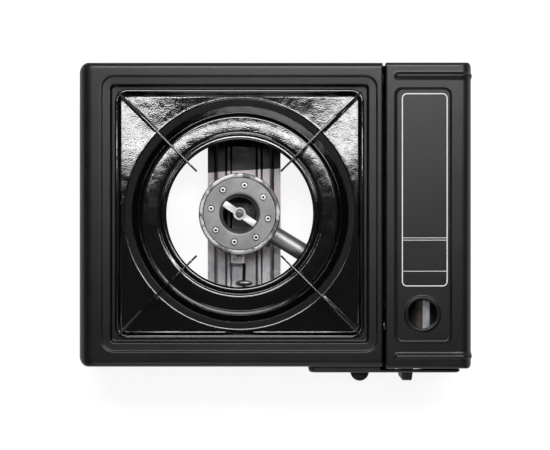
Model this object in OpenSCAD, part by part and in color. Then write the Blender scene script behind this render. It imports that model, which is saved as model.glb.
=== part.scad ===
// Table-top gas stove for a lie-down butane cartridge. A pressed steel hob carries a cast
// burner under a lift-out enamel drip pan with four welded pot supports. At its right a lidded
// bay holds the cartridge, which a lever at the front locks against the regulator.
// Millimetres. The origin is on the table under the middle of the stove, X to the right,
// Y to the rear and Z up.

/* [Body] */
// Width of the hob pressing
hob_w = 266.7; // [262:0.1:300]
// Depth of the hob pressing
hob_d = 266.8; // [262:0.1:300]
// Height of the hob top above the table
hob_h = 86; // [84:0.5:100]
// Thickness of the hob, bay and lid sheet
sheet = 1; // [0.8:0.1:1.2]
// Height of the rubber feet
foot_h = 8; // [6:0.5:14]
// Radius of the feet at the table
foot_r = 8; // [6:0.5:9]
// Roll radius of the hob's left top edge
side_roll = 12; // [6:0.5:16]
// Roll radius of the front and rear top edges
edge_roll = 5; // [3:0.5:8]
// Corner radius of the hob in plan
hob_corner = 9; // [6:0.5:12]
// Width of the folds along the hob's lower edge
hem_w = 12; // [8:1:16]

/* [Pan seat] */
// Left margin of the hob beside the shallow pressed frame round the pan
frame_left = 21.3; // [18:0.1:26]
// Right margin of the hob beside the frame
frame_right = 5.4; // [4:0.1:8]
// Front margin of the hob before the frame
frame_front = 14.2; // [11:0.1:18]
// Rear margin of the hob behind the frame
frame_rear = 12.6; // [10:0.1:16]
// Corner radius of the pressed frame
frame_corner = 10.5; // [8:0.5:14]
// Depth of the pressed frame
frame_step = 1.2; // [0.8:0.1:2]
// Width of the frame's floor round the opening for the pan
seat_in = 7.25; // [6:0.05:9]
// Depth of the ledge that the pan rests on, below the hob top
seat_depth = 6.5; // [5:0.5:8]
// Width of the ledge
ledge_w = 6; // [5:0.5:8]

/* [Drip pan] */
// Gap between the pan's rolled rim and the opening
pan_gap = 3.25; // [2:0.05:4]
// Thickness of the enamelled pan sheet
pan_sheet = 1; // [0.8:0.1:1.4]
// Radius of the pan's centre hole
pan_hole_r = 64.7; // [60:0.1:68]
// Distance from the pan's wall to the edge of its round trough
trough_in = 4.85; // [4:0.05:8]
// Width of the trough's outer slope
trough_slope = 11.4; // [8:0.1:14]
// Depth of the flat corners below the ledge
corner_drop = 2.5; // [1.5:0.5:4]
// Depth of the trough below the flat corners
trough_depth = 10; // [7:0.5:11]

/* [Pot supports] */
// Height of the pot supports above the hob top
support_rise = 26; // [20:0.5:30]
// Distance of the support tips from the burner axis
support_tip_r = 51.2; // [46:0.2:56]
// Distance of the support feet's outer ends from the pan's corners
support_in = 10.85; // [8:0.05:14]
// Thickness of the support blades
support_t = 1.6; // [1.2:0.1:2.5]
// Width of the welded foot under each blade
support_foot_w = 5; // [4:0.5:8]

/* [Burner] */
// Radius of the burner over its slotted ring
burner_r = 35.8; // [33:0.1:38]
// Radius of the flat burner cap
cap_r = 32; // [30:0.1:33]
// Radius of the burner's centre hole
cap_hole_r = 17; // [15:0.1:18]
// Height of the cap's top above the table
cap_top = 84; // [82:0.5:86]
// Height of the burner bowl
bowl_h = 34; // [32:1:36]
// Slots round the burner ring
slot_count = 40; // [24:1:48]
// Hollow studs on the cap
stud_count = 8; // [6:1:10]
// Radius of the circle of studs
stud_circle_r = 25.3; // [23:0.1:27]
// Radius of the central post
post_r = 4; // [3:0.1:5]
// Radius of the mixing tube at the burner
tube_r = 8; // [7:0.1:8.5]
// Radius of the mixing tube at its mouth
tube_mouth_r = 9.2; // [9:0.1:9.6]
// Height of the mixing tube's axis above the table
tube_z = 54; // [53:0.5:55]

/* [Burner bracket] */
// Width of the bracket's raised web
web_w = 48.5; // [44:0.5:52]
// Height of the web's top above the table
web_z = 30; // [26:0.5:32]
// Height of the web above its side flanges
web_rise = 7; // [5:0.5:8]
// Width of each side flange
flange_w = 5; // [4:0.5:8]
// Distance of the bracket's axis right of the burner axis
bracket_shift = 2.6; // [0:0.1:4]
// Width of each stiffening rib
rib_w = 6; // [4:0.5:8]
// Distance of each rib from the bracket's axis
rib_offset = 14; // [12:0.5:16]

/* [Cartridge bay] */
// Gap between the hob and the cartridge lid
lid_gap = 2.3; // [1.5:0.1:4]
// Width of the cartridge lid
lid_w = 76; // [76:0.5:90]
// Distance that the lid's front stands ahead of the hob
lid_front_proud = 1.5; // [1:0.1:3]
// Clearance between the lid's walls and the bay
lid_clear = 0.5; // [0.3:0.1:1]
// Height of the lid's lower right edge above the table
lid_drop_z = 34; // [28:1:40]
// Radius of a cartridge
cartridge_r = 34.5; // [33:0.1:35]
// Distance from the hob's front to the inlet face
valve_space = 71.8; // [70:0.1:76]
// Gap between the carrier's rear stop and the bay's rear wall
stop_gap = 4.5; // [4:0.1:8]
// Height of the cartridge axis above the table
cartridge_z = 47.5; // [46.5:0.5:48]
// Distance of the cartridge axis from the lid's right side
cartridge_in = 39; // [38:0.5:40]

/* [Lid details] */
// Left, right, front and rear margins of the pressed panel in the lid
panel_margins = [7.4, 17.9, 21.8, 21.9];
// Depth of the pressed panel
panel_depth = 2; // [1:0.1:2.5]
// Radius of the viewing hole
view_r = 12.6; // [10:0.2:14]
// Distance of the viewing hole from the lid's front
view_from_front = 48; // [44:0.5:52]
// Height of the raised beads across the lid's ends
bead_rise = 1.6; // [1:0.1:2]

/* [Front panel] */
// Distance that the panel stands ahead of the hob
fascia_proud = 5.5; // [5:0.1:8]
// Width of the front panel
fascia_w = 133.7; // [130:0.1:138]
// Distance of the panel's right end from the stove's right side
fascia_in = 9.2; // [8:0.1:12]
// Height of the panel
fascia_h = 68; // [64:0.5:70]
// Wall of the panel
fascia_t = 2.2; // [1.8:0.1:3]
// Distance of the knob axis from the stove's right side
knob_in = 54.8; // [53:0.1:56]
// Height of the knob axis above the table
knob_z = 45; // [44:0.5:46]
// Radius of the knob
knob_r = 22; // [18:0.5:22]
// Distance that the knob's grip stands ahead of the panel
grip_proud = 4.8; // [3:0.1:8]

/* [Lock lever] */
// Distance of the lever from the stove's right side
lever_in = 96.2; // [94:0.1:98]
// Width of the lever's tab
tab_w = 16.6; // [12:0.2:20]
// Distance that the tab stands ahead of the front panel
tab_reach = 10.7; // [8:0.1:14]
// Height of the tab above the table when it is up
tab_z = 47; // [45:0.5:49]
// Angle that the lever turns through from unlocked to locked
lever_swing = 18; // [12:1:20]
// Radius of the lever's shaft
shaft_r = 3; // [2.5:0.1:3.5]
// Length of the crank that moves the carrier
crank_l = 18; // [15:0.5:19]
// Radius of the crank's pin
pin_r = 2; // [1.5:0.1:2.5]

/* [Valve and regulator] */
// Radius of the valve spindle
spindle_r = 3; // [2.5:0.1:3.5]
// Radial running clearance of the spindle and the lever shaft
run_fit = 0.06; // [0.04:0.01:0.1]
// Radius of the regulator's round casting
regulator_r = 19; // [17:0.5:20]
// Radius of the bore that takes the cartridge's nozzle
inlet_r = 4.1; // [3.8:0.1:4.5]
// Depth of the inlet bore
inlet_depth = 8; // [6:0.5:10]

/* [Hidden] */
$fn = 64;

eps = 0.01;
seat_gap = 0.3;
stove_w = hob_w + lid_gap + lid_w;
stove_d = hob_d + fascia_proud + tab_reach;
x_left = -stove_w / 2;
x_right = stove_w / 2;
x_hob = x_left + hob_w;
x_lid = x_hob + lid_gap;
y_rear = stove_d / 2;
y_hob = y_rear - hob_d;
y_lid = y_hob - lid_front_proud;
y_face = y_hob - fascia_proud;
z_base = foot_h;
z_floor = z_base + sheet;

// Pan seat and pan, as widths and depths about the burner axis, from the frame inwards
both = [1, 1];
frame_size = [hob_w - frame_left - frame_right, hob_d - frame_front - frame_rear];
burner_x = x_left + frame_left + frame_size[0] / 2;
burner_y = y_rear - frame_rear - frame_size[1] / 2;
seat_size = frame_size - 2 * seat_in * both;
ledge_size = seat_size - 2 * ledge_w * both;
pan_size = seat_size - 2 * pan_gap * both;
pan_fit = 0.5;
tub_size = ledge_size - 2 * pan_fit * both;
seat_corner = 3;
tub_corner = 8;
pan_rim_w = 3.5;
trough_edge_r = min(tub_size[0], tub_size[1]) / 2 - trough_in;
trough_r = trough_edge_r - trough_slope;
support_foot_r = norm(pan_size) / 2 - support_in;
corner_turn = atan2(pan_size[1], pan_size[0]);

// Pan heights, from the ledge down to the trough
ledge_z = hob_h - seat_depth;
pan_rim_z = ledge_z + pan_sheet;
pan_floor_z = ledge_z - corner_drop;
trough_z = pan_floor_z - trough_depth;
support_z = hob_h + support_rise;

// Burner heights, from the cap down to the bracket
cap_t = 4;
bowl_top = cap_top - cap_t;
bowl_z = bowl_top - bowl_h;
bowl_wall = 2.4;
inner_ledge = 2;
bracket_x = burner_x + bracket_shift;
bowl_low_r = 26;
bowl_outside = [[bowl_low_r, bowl_z], [bowl_low_r + 3, bowl_z + 3], [burner_r - 2, bowl_top - 6],
    [burner_r - 1, bowl_top]];
stud_r = 2.5;
stud_hole_r = 0.95;
stud_h = 2.5;
stud_start = 79.8;
clamp_t = 1.5;
clamp_w = 5.7;
clamp_turn = -34;
clamp_top = bowl_top + clamp_t;

// Cartridge bay
partition_x = x_hob - 2 * sheet;
cartridge_x = x_right - cartridge_in;
tray_front = y_hob + sheet;
tray_rear = y_rear - sheet - lid_clear;
tray_right = x_right - sheet - lid_clear;
hinge_x = x_lid + 4.6;
hinge_z = hob_h - 5.5;
hinge_pin_r = 1.5;
hinge_ear_r = 3.2;
carrier_w = 24;
carrier_z = z_floor + seat_gap;
carrier_travel = lever_swing * PI / 180 * crank_l;

// Knob, spindle and regulator places
knob_x = x_right - knob_in;
cup_r = knob_r + 2;
cup_depth = 11.8;
cup_back = y_face + cup_depth;
lever_x = x_right - lever_in;
pivot_y = y_hob + 30.3;
pivot_z = 30;
inlet_y = y_hob + valve_space;
cartridge_l = tray_rear - sheet - stop_gap - inlet_y;
reg_front = inlet_y - 43;
reg_rear = inlet_y - 8;
bracket_y = reg_front - 3.5;
jet_y = inlet_y - 28.85;
valve_left = knob_x - 11.7;
boss_r = 5.5;
igniter_y = tray_front + 13.8;
igniter_left = knob_x - 14.7;

// Screws of the front panel, as X and Z, and the wall that each goes through
panel_screw_r = 1.5;
panel_screw_places = [[x_right - fascia_in - fascia_w + 12, z_base + 16],
    [x_right - fascia_in - fascia_w + 12, z_base + 60], [knob_x - 18, z_base + 10],
    [knob_x + 38, z_base + 14]];
function screw_wall(p) = p[0] < x_hob ? y_hob : tray_front;

// Feet, from the stove's left, right, front and rear edges
foot_side_in = 18;
foot_end_in = 24;

// Mixing tube, from the burner towards the jet on the valve
tube_turn = atan2(burner_y - jet_y, knob_x - burner_x);
tube_start = 25;
tube_dir = -tube_turn;
tube_len = (x_hob - 12 - burner_x) / cos(tube_turn) - tube_start;
tube_wall = 1.5;
jet_r = 2.6;

// Electrode, beside the burner's front edge
electrode_x = burner_x - 1.2;
electrode_y = burner_y - burner_r - 3.7;
ceramic_z = bowl_z + 6;
ceramic_top = ceramic_z + 18;

// Coil spring on the lever's shaft
spring_wire = 0.6;
spring_pitch = 1.8;
spring_turns = 5;
spring_r = shaft_r + 1.4;

// Ignition lead, from the igniter through the partition and along the bracket to the electrode
lead_r = 1.4;
lead_z = z_floor + 11;
clip_point = 15;
function lead_x(f) = bracket_x + f * (partition_x - bracket_x);
function lead_y(g) = y_hob + g * (electrode_y - y_hob);
lead_route = [[igniter_left - 0.1, igniter_y, lead_z], [partition_x + 4.8, igniter_y, lead_z],
    [partition_x - 3.2, igniter_y, lead_z], [partition_x - 11.2, igniter_y - 1.5, lead_z - 1],
    [lead_x(0.84), y_hob + 10.8, lead_z - 3], [lead_x(0.72), y_hob + 9.8, lead_z - 5],
    [lead_x(0.58), y_hob + 9.8, lead_z - 5], [lead_x(0.47), y_hob + 11.3, lead_z - 3],
    [lead_x(0.37), y_hob + 13.3, lead_z + 2], [lead_x(0.27), y_hob + 16.3, web_z - 1],
    [lead_x(0.17), y_hob + 21.3, web_z + 3.4], [lead_x(0.088), y_hob + 29.3, web_z + 3.5],
    [lead_x(0.038), lead_y(0.415), web_z + 2.4], [lead_x(0.013), lead_y(0.52), web_z + 1.7],
    [bracket_x + 0.2, lead_y(0.626), web_z + 1.5], [bracket_x, lead_y(0.753), web_z + 1.5],
    [bracket_x + 0.2, lead_y(0.837), web_z + 2.2], [bracket_x + 0.4, lead_y(0.911), web_z + 5],
    [electrode_x + 3, lead_y(0.968), web_z + 9.5], [electrode_x + 0.1, electrode_y - 0.1, ceramic_z - 5.5],
    [electrode_x, electrode_y, ceramic_z - 1.1]];

// Rectangle of w by d about the origin, with corners of radius r
module round_rect(w, d, r) {
    square([w - 2 * r, d], center = true);
    square([w, d - 2 * r], center = true);
    for (sx = [-1, 1])
        for (sy = [-1, 1])
            translate([sx * (w / 2 - r), sy * (d / 2 - r)]) circle(r);
}

// Block with rounded corners about the burner axis, between two heights
module burner_block(size, r, z0, z1) {
    translate([burner_x, burner_y, z0]) linear_extrude(z1 - z0) round_rect(size[0], size[1], r);
}

// Ring with rounded corners about the burner axis, between two heights
module burner_frame(outer, inner, r_out, r_in, z0, z1) {
    difference() {
        burner_block(outer, r_out, z0, z1);
        burner_block(inner, r_in, z0 - 1, z1 + 1);
    }
}

// Upright rectangle of w by h standing on the X axis, its top corners rounded
module arch(w, h, r_left, r_right) {
    translate([r_left, 0]) square([w - r_left - r_right, h]);
    square([r_left, h - r_left]);
    translate([w - r_right, 0]) square([r_right, h - r_right]);
    translate([r_left, h - r_left]) circle(r_left);
    translate([w - r_right, h - r_right]) circle(r_right);
}

// Block with rolled top edges: arches seen from the front and from the side, cut by each other
module rolled_block(x, y, z, w, d, h, r_left, r_right, r_ends) {
    intersection() {
        translate([x, y + d, z]) rotate([90, 0, 0]) linear_extrude(d) arch(w, h, r_left, r_right);
        translate([x, y, z]) rotate([90, 0, 90]) linear_extrude(w) arch(d, h, r_ends, r_ends);
    }
}

// Rod of radius r and length l from the origin along a direction in the XY plane
module rod(r, l, turn) {
    rotate([0, 90, turn]) cylinder(r = r, h = l);
}

// Upright row of n slots along X through a wall that is t thick in Y
module slot_row(n, pitch, w, h, t) {
    for (i = [0:n - 1])
        translate([(i - (n - 1) / 2) * pitch, 0, 0])
            rotate([90, 0, 0]) linear_extrude(t, center = true) round_rect(w, h, w / 2 - eps);
}

// Tube swept along a list of points: a ring of sides points round each
function unit(v) = v / norm(v);
function lead_dir(p, i) = unit(p[min(i + 1, len(p) - 1)] - p[max(i - 1, 0)]);
function side_of(t) = unit(cross(t, abs(t[2]) > 0.9 ? [0, 1, 0] : [0, 0, 1]));
function spline(a, b, c, d, t) =
    0.5 * (2 * b + (c - a) * t + (2 * a - 5 * b + 4 * c - d) * t * t
        + (3 * b - a - 3 * c + d) * t * t * t);
function smooth(p, n) = [for (i = [0:len(p) - 2]) for (k = [0:n - 1])
    spline(p[max(i - 1, 0)], p[i], p[i + 1], p[min(i + 2, len(p) - 1)], k / n), p[len(p) - 1]];

// Frames carried along the path, each turned as little as possible from the last
function frames(p, i = 0, u = undef) =
    let (t = lead_dir(p, i))
    let (v = is_undef(u) ? side_of(t) : unit(u - t * (u * t)))
    i == len(p) - 1 ? [v] : concat([v], frames(p, i + 1, v));

module swept_tube(p, r, sides) {
    f = frames(p);
    points = [for (i = [0:len(p) - 1]) for (k = [0:sides - 1])
        let (w = cross(lead_dir(p, i), f[i]), a = 360 * k / sides)
            p[i] + r * (cos(a) * f[i] + sin(a) * w)];
    walls = [for (i = [0:len(p) - 2]) for (k = [0:sides - 1])
        let (a = i * sides + k, b = i * sides + (k + 1) % sides)
            each [[a, a + sides, b + sides], [a, b + sides, b]]];
    first = [for (k = [1:sides - 2]) [0, k, k + 1]];
    base = (len(p) - 1) * sides;
    last = [for (k = [1:sides - 2]) [base, base + k + 1, base + k]];
    polyhedron(points, concat(walls, first, last), convexity = 10);
}

// ---- Hob and base -------------------------------------------------------------------------

// The hob's outside as a solid block, with every wall taken in by inset
module hob_block(inset, z0) {
    intersection() {
        rolled_block(x_left + inset, y_hob + inset, z0, hob_w - 2 * inset, hob_d - 2 * inset,
            hob_h - inset - z0, side_roll - inset, 2 - inset, edge_roll - inset);
        union() {
            translate([x_left + hob_w / 2, y_hob + hob_d / 2, z0])
                linear_extrude(hob_h) round_rect(hob_w - 2 * inset, hob_d - 2 * inset, hob_corner - inset);
            translate([x_left + hob_w / 2, y_hob + inset, z0])
                cube([hob_w / 2 - inset, hob_d - 2 * inset, hob_h]);
        }
    }
}

// Pressed steel cover: rolled left edge, folded lower hem, and a stepped seat for the pan
module body_shell() {
    hem_left = 2 * foot_r + hem_w;
    right_fold = 10;
    color([0.25, 0.25, 0.27]) {
        difference() {
            hob_block(0, z_base);
            hob_block(sheet, z_floor);
            translate([x_left + hem_left, y_hob + hem_w, z_base - 1])
                cube([hob_w, hob_d - 2 * hem_w, sheet + 2]);
            translate([partition_x - 6, y_hob + sheet, z_base - 1])
                cube([hob_w, hob_d - 2 * sheet, sheet + 2]);
            translate([x_hob - sheet - eps, y_hob + sheet, z_base - 1])
                cube([sheet + 1, hob_d - 2 * sheet, hob_h - z_base - right_fold]);
            burner_block(frame_size, frame_corner, hob_h - 2 * sheet, hob_h + 1);
            body_vents();
            lever_slot();
            knob_well_hole();
            panel_screw_holes();
        }
        burner_frame(frame_size + 2 * sheet * both, frame_size, frame_corner + sheet, frame_corner,
            hob_h - frame_step - sheet, hob_h - sheet / 2);
        burner_frame(frame_size + sheet * both, seat_size, frame_corner, seat_corner,
            hob_h - frame_step - sheet, hob_h - frame_step);
        burner_frame(seat_size + 2 * sheet * both, seat_size, seat_corner + sheet, seat_corner,
            ledge_z - sheet, hob_h - frame_step - sheet / 2);
        burner_frame(seat_size + sheet * both, ledge_size, seat_corner, tub_corner,
            ledge_z - sheet, ledge_z);
    }
}

// Holes for the front panel's screws through both front walls
module panel_screw_holes() {
    for (p = panel_screw_places)
        translate([p[0], screw_wall(p) - 1, p[1]])
            rotate([-90, 0, 0]) cylinder(r = panel_screw_r + 0.1, h = sheet + 2);
}

// Round cut that clears the front panel's knob well
module knob_well_hole() {
    depth = cup_back + fascia_t + 1 - y_hob;
    translate([knob_x, y_hob - 1, knob_z])
        rotate([-90, 0, 0]) cylinder(r = cup_r + fascia_t + 1, h = depth + 1);
}

// Cooling slots in the hob's left and rear walls
module body_vents() {
    vent_z = hob_h - 26;
    translate([burner_x, y_rear, vent_z]) slot_row(9, 20, 6, 20, 4 * sheet);
    translate([x_left, burner_y, vent_z]) rotate([0, 0, 90]) slot_row(9, 20, 6, 20, 4 * sheet);
}

// Upright slot for the lock lever, through the hob's front wall and the front panel
module lever_slot() {
    slot_h = 24;
    translate([lever_x, y_hob - fascia_proud / 2, tab_z - 5])
        rotate([90, 0, 0]) linear_extrude(2 * fascia_proud + 8, center = true)
            round_rect(4, slot_h, 2 - eps);
}

// Moulded fascia with a round well for the knob
module front_panel() {
    left = x_right - fascia_in - fascia_w;
    top = z_base + 4 + fascia_h;
    color([0.16, 0.16, 0.17]) difference() {
        union() {
            translate([left + fascia_w / 2, y_face + fascia_t, (top + z_base + 4) / 2])
                rotate([90, 0, 0]) linear_extrude(fascia_t) round_rect(fascia_w, fascia_h, 6);
            translate([left, y_face + fascia_t, z_base + 4]) fascia_rim();
            translate([knob_x, y_face + fascia_t, knob_z])
                rotate([-90, 0, 0]) cylinder(r = cup_r + fascia_t, h = cup_depth);
            for (p = panel_screw_places)
                translate([p[0], y_face + fascia_t, p[1]]) rotate([-90, 0, 0])
                    cylinder(r = panel_screw_r + 2, h = screw_wall(p) - y_face - fascia_t);
        }
        for (p = panel_screw_places)
            translate([p[0], y_face + fascia_t / 2, p[1]])
                rotate([-90, 0, 0]) cylinder(r = panel_screw_r + 0.1, h = 2 * fascia_proud);
        translate([knob_x, y_face - 1, knob_z]) rotate([-90, 0, 0]) cylinder(r = cup_r, h = cup_depth + 1);
        translate([knob_x, y_face, knob_z])
            rotate([-90, 0, 0]) cylinder(r = spindle_r + 1, h = cup_depth + 2 * fascia_t);
        lever_slot();
    }
}

// Rim folded back from the panel to the hob and the bay, lower where the lid's wall hangs down
module fascia_rim() {
    back = fascia_proud - fascia_t;
    lid_side = x_lid - (x_right - fascia_in - fascia_w) - 4;
    lid_clear_z = 52;
    difference() {
        translate([fascia_w / 2, 0, fascia_h / 2])
            rotate([-90, 0, 0]) linear_extrude(back) round_rect(fascia_w, fascia_h, 6);
        translate([fascia_w / 2, -1, fascia_h / 2])
            rotate([-90, 0, 0]) linear_extrude(back + 2)
                round_rect(fascia_w - 2 * fascia_t, fascia_h - 2 * fascia_t, 6 - fascia_t);
        translate([lid_side, -1, lid_clear_z]) cube([fascia_w, back + 2, fascia_h]);
    }
}

// Upright sheet between the burner space and the bay, with its openings
module partition_plate() {
    hole_y = burner_y - (x_hob - burner_x) * tan(tube_turn);
    color([0.2, 0.2, 0.21]) difference() {
        translate([partition_x, tray_front + sheet, z_floor])
            cube([sheet, tray_rear - tray_front - 2 * sheet, hob_h - 3 * sheet - z_floor]);
        knob_well_hole();
        translate([partition_x - 1, hole_y, tube_z]) rotate([0, 90, 0]) cylinder(r = 9, h = sheet + 2);
        translate([partition_x - 1, pivot_y, pivot_z])
            rotate([0, 90, 0]) cylinder(r = shaft_r + run_fit, h = sheet + 2);
        translate([partition_x - 1, igniter_y, lead_z])
            rotate([0, 90, 0]) cylinder(r = lead_r + 2, h = sheet + 2);
        translate([partition_x, burner_y + 30, hob_h / 2])
            rotate([0, 0, 90]) slot_row(7, 24, 5, 30, 4 * sheet);
    }
}

// Folded tray under the cartridge: floor, low right wall, two end walls and vent holes
module compartment_tray() {
    wall_r = 40;
    floor_vent_r = 3;
    floor_vent_x = cartridge_r - 8;
    color([0.22, 0.22, 0.24]) {
        difference() {
            union() {
                translate([partition_x, tray_front, z_base])
                    cube([tray_right - partition_x, tray_rear - tray_front, sheet]);
                translate([tray_right - sheet, tray_front, z_base])
                    cube([sheet, tray_rear - tray_front, wall_r - z_base]);
                tray_end(tray_front);
                tray_end(tray_rear - sheet);
            }
            knob_well_hole();
            panel_screw_holes();
            for (y = [tray_front, tray_rear - sheet])
                translate([hinge_x, y - 1, hinge_z])
                    rotate([-90, 0, 0]) cylinder(r = hinge_pin_r + run_fit, h = sheet + 2);
            for (i = [0:6])
                for (side = [-1, 1])
                    translate([cartridge_x + side * floor_vent_x, inlet_y + 12 + i * (cartridge_l - 38) / 6, z_base - 1])
                        cylinder(r = floor_vent_r, h = sheet + 2);
        }
        carrier_guides();
    }
}

// End wall of the bay: its top right corner clears the lid's roll, and a round ear holds the
// hinge pin where the lid's left edge swings down
module tray_end(y) {
    end_h = hob_h - sheet - lid_clear - 1 - z_base;
    width = tray_right - partition_x;
    sweep_r = 7.5;
    translate([0, y + sheet, 0]) rotate([90, 0, 0]) linear_extrude(sheet) {
        difference() {
            translate([partition_x, z_base]) arch(width, end_h, 1.5, 12);
            translate([partition_x - 1, hinge_z - sweep_r])
                square([hinge_x + 1.5 - partition_x + 1, 3 * sweep_r]);
        }
        translate([hinge_x, hinge_z]) circle(hinge_ear_r);
    }
}

// Hooked tabs lanced up from the tray that hold the carrier's edges down
module carrier_guides() {
    reach = 4;
    lip_z = carrier_z + sheet + seat_gap;
    edge = carrier_w / 2 + seat_gap;
    for (y = [inlet_y - 2, inlet_y + cartridge_l - 48])
        for (side = [-1, 1])
            translate([cartridge_x, y, 0]) mirror([side < 0 ? 1 : 0, 0, 0]) {
                translate([edge, 0, z_floor - eps]) cube([sheet, 8, lip_z + sheet - z_floor]);
                translate([edge + sheet - reach, 0, lip_z]) cube([reach, 8, sheet]);
            }
}

// Two pressed rails that the cartridge lies in
module cartridge_rails() {
    rail_x = 18;
    rail_w = 6;
    rail_l = cartridge_l - 38;
    top = cartridge_z - sqrt(pow(cartridge_r + seat_gap, 2) - pow(rail_x, 2));
    rise = rail_w / 2 * rail_x / sqrt(pow(cartridge_r, 2) - pow(rail_x, 2));
    color([0.62, 0.63, 0.65])
        for (side = [-1, 1])
            translate([cartridge_x, inlet_y + 10, 0]) mirror([side < 0 ? 1 : 0, 0, 0])
                rotate([90, 0, 0]) mirror([0, 0, 1]) linear_extrude(rail_l)
                    polygon([[rail_x - rail_w / 2 - 1.5, z_floor], [rail_x + rail_w / 2 + 1.5, z_floor],
                        [rail_x + rail_w / 2, top + rise], [rail_x - rail_w / 2, top - rise]]);
}

// Rubber foot, cut in at its neck
module foot(x, y) {
    color([0.08, 0.08, 0.08]) translate([x, y, 0]) rotate_extrude()
        polygon([[0, 0], [foot_r - 1, 0], [foot_r, 1], [foot_r, foot_h - 2],
            [foot_r - 1.5, foot_h - 1.2], [foot_r - 1.5, foot_h], [0, foot_h]]);
}

// Screws from inside, through the front walls into the panel's bosses
module panel_screws() {
    shank = sheet + 3;
    color([0.7, 0.7, 0.7])
        for (p = panel_screw_places)
            translate([p[0], screw_wall(p) + sheet, p[1]]) rotate([-90, 0, 0]) {
                cylinder(r = panel_screw_r + 1.6, h = 1.8);
                translate([0, 0, -shank]) cylinder(r = panel_screw_r, h = shank);
            }
}

// ---- Burner -------------------------------------------------------------------------------

// Section of the bracket across its length: raised web with two ribs, sloped sides, flanges
module bracket_section() {
    slope = 3;
    top = web_z;
    half = web_w / 2;
    rib = 1.8;
    outline = [[0, top], [rib_offset - rib_w / 2, top], [rib_offset - rib_w / 4, top + rib],
        [rib_offset + rib_w / 4, top + rib], [rib_offset + rib_w / 2, top], [half, top],
        [half + slope, top - web_rise], [half + slope + flange_w, top - web_rise]];
    under = [for (i = [len(outline) - 1:-1:0]) [max(outline[i][0] - (i >= 5 ? 0.6 : 0)
        + (i == 7 ? 0.6 : 0), 0), outline[i][1] - sheet]];
    right = concat(outline, under);
    union() {
        polygon(right);
        mirror([1, 0]) polygon(right);
    }
}

// Ribbed steel strip that carries the burner, from the front wall to the rear wall
module burner_bracket() {
    tab_h = 12;
    length = hob_d - 2 * sheet;
    color([0.62, 0.62, 0.64]) {
        translate([bracket_x, y_rear - sheet, 0]) rotate([90, 0, 0]) linear_extrude(length) bracket_section();
        for (y = [y_hob + sheet, y_rear - 2 * sheet])
            translate([bracket_x - web_w / 2, y, web_z - sheet]) cube([web_w, sheet, tab_h + sheet]);
    }
}

// Rivets through the bracket's ends and the hob's walls
module bracket_rivets() {
    head_r = 3;
    head_h = 1.2;
    color([0.7, 0.7, 0.72])
        for (side = [-1, 1])
            for (end = [0, 1])
                translate([bracket_x + side * web_w / 3, end ? y_rear - 2 * sheet : y_hob + 2 * sheet,
                    web_z + 6])
                    rotate([end ? 90 : -90, 0, 0]) cylinder(r1 = head_r, r2 = head_r - 1, h = head_h);
}

// Cast ring-shaped bowl on three legs, open above under the cap
module burner_body() {
    throat_r = cap_hole_r - inner_ledge;
    color([0.6, 0.6, 0.6]) {
        difference() {
            translate([burner_x, burner_y, 0]) rotate_extrude()
                polygon(concat(bowl_outside, [[burner_r - 1 - bowl_wall, bowl_top],
                    [bowl_low_r + 3 - bowl_wall, bowl_z + 5], [bowl_low_r - 1, bowl_z + bowl_wall],
                    [throat_r + bowl_wall, bowl_z + bowl_wall], [throat_r + bowl_wall, bowl_top],
                    [throat_r, bowl_top], [throat_r, bowl_z]]));
            translate([burner_x, burner_y, tube_z]) rotate([0, 90, tube_dir])
                translate([0, 0, cap_hole_r + 3]) cylinder(r = tube_r - tube_wall, h = 30);
        }
        for (k = [0:2])
            translate([burner_x, burner_y, 0]) rotate([0, 0, 60 + 120 * k])
                translate([cap_hole_r + 1.5, 0, web_z]) cylinder(r = 3, h = bowl_z - web_z + 1);
    }
}

// Flat cast cap with its ring of hollow studs
module burner_cap() {
    color([0.65, 0.64, 0.65]) translate([burner_x, burner_y, 0]) difference() {
        union() {
            rotate_extrude() polygon([[cap_hole_r, bowl_top], [cap_r, bowl_top], [cap_r, cap_top - 0.5],
                [cap_r - 0.5, cap_top], [cap_hole_r + 1.2, cap_top], [cap_hole_r, cap_top - 1.2]]);
            at_studs() cylinder(r1 = stud_r, r2 = stud_r - 0.5, h = stud_h - eps);
        }
        at_studs() translate([0, 0, -1]) cylinder(r = stud_hole_r, h = stud_h + 2);
    }
}

// Places its children at each stud of the cap, stud_h high in all with 1 mm above the cap
module at_studs() {
    for (k = [0:stud_count - 1])
        rotate([0, 0, stud_start + 360 / stud_count * k])
            translate([stud_circle_r, 0, cap_top + 1 - stud_h]) children();
}

// Machined ring round the cap, slotted for the flame
module burner_ring() {
    slot_w = 0.9;
    color([0.8, 0.8, 0.8]) translate([burner_x, burner_y, 0]) difference() {
        rotate_extrude() polygon([[cap_r, bowl_top], [burner_r, bowl_top], [burner_r, cap_top - 1],
            [burner_r - 0.6, cap_top - 0.4], [cap_r, cap_top - 0.4]]);
        for (k = [0:slot_count - 1])
            rotate([0, 0, 360 / slot_count * k])
                translate([cap_r + 0.8, -slot_w / 2, bowl_top + 0.8]) cube([burner_r, slot_w, 1.8]);
    }
}

// Stud from the bracket up to the clamp bar
module burner_post() {
    color([0.7, 0.7, 0.72]) translate([burner_x, burner_y, web_z])
        cylinder(r = post_r, h = clamp_top - clamp_t - web_z);
}

// Bar across the cap's hole, pressed on by the centre screw
module cap_clamp_bar() {
    hub_r = 5.2;
    length = 2 * (cap_hole_r - 0.6);
    color([0.82, 0.82, 0.8]) translate([burner_x, burner_y, clamp_top - clamp_t]) rotate([0, 0, clamp_turn]) {
        translate([-length / 2, -clamp_w / 2, 0]) cube([length, clamp_w, clamp_t]);
        cylinder(r = hub_r, h = clamp_t + 0.6);
    }
}

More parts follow.
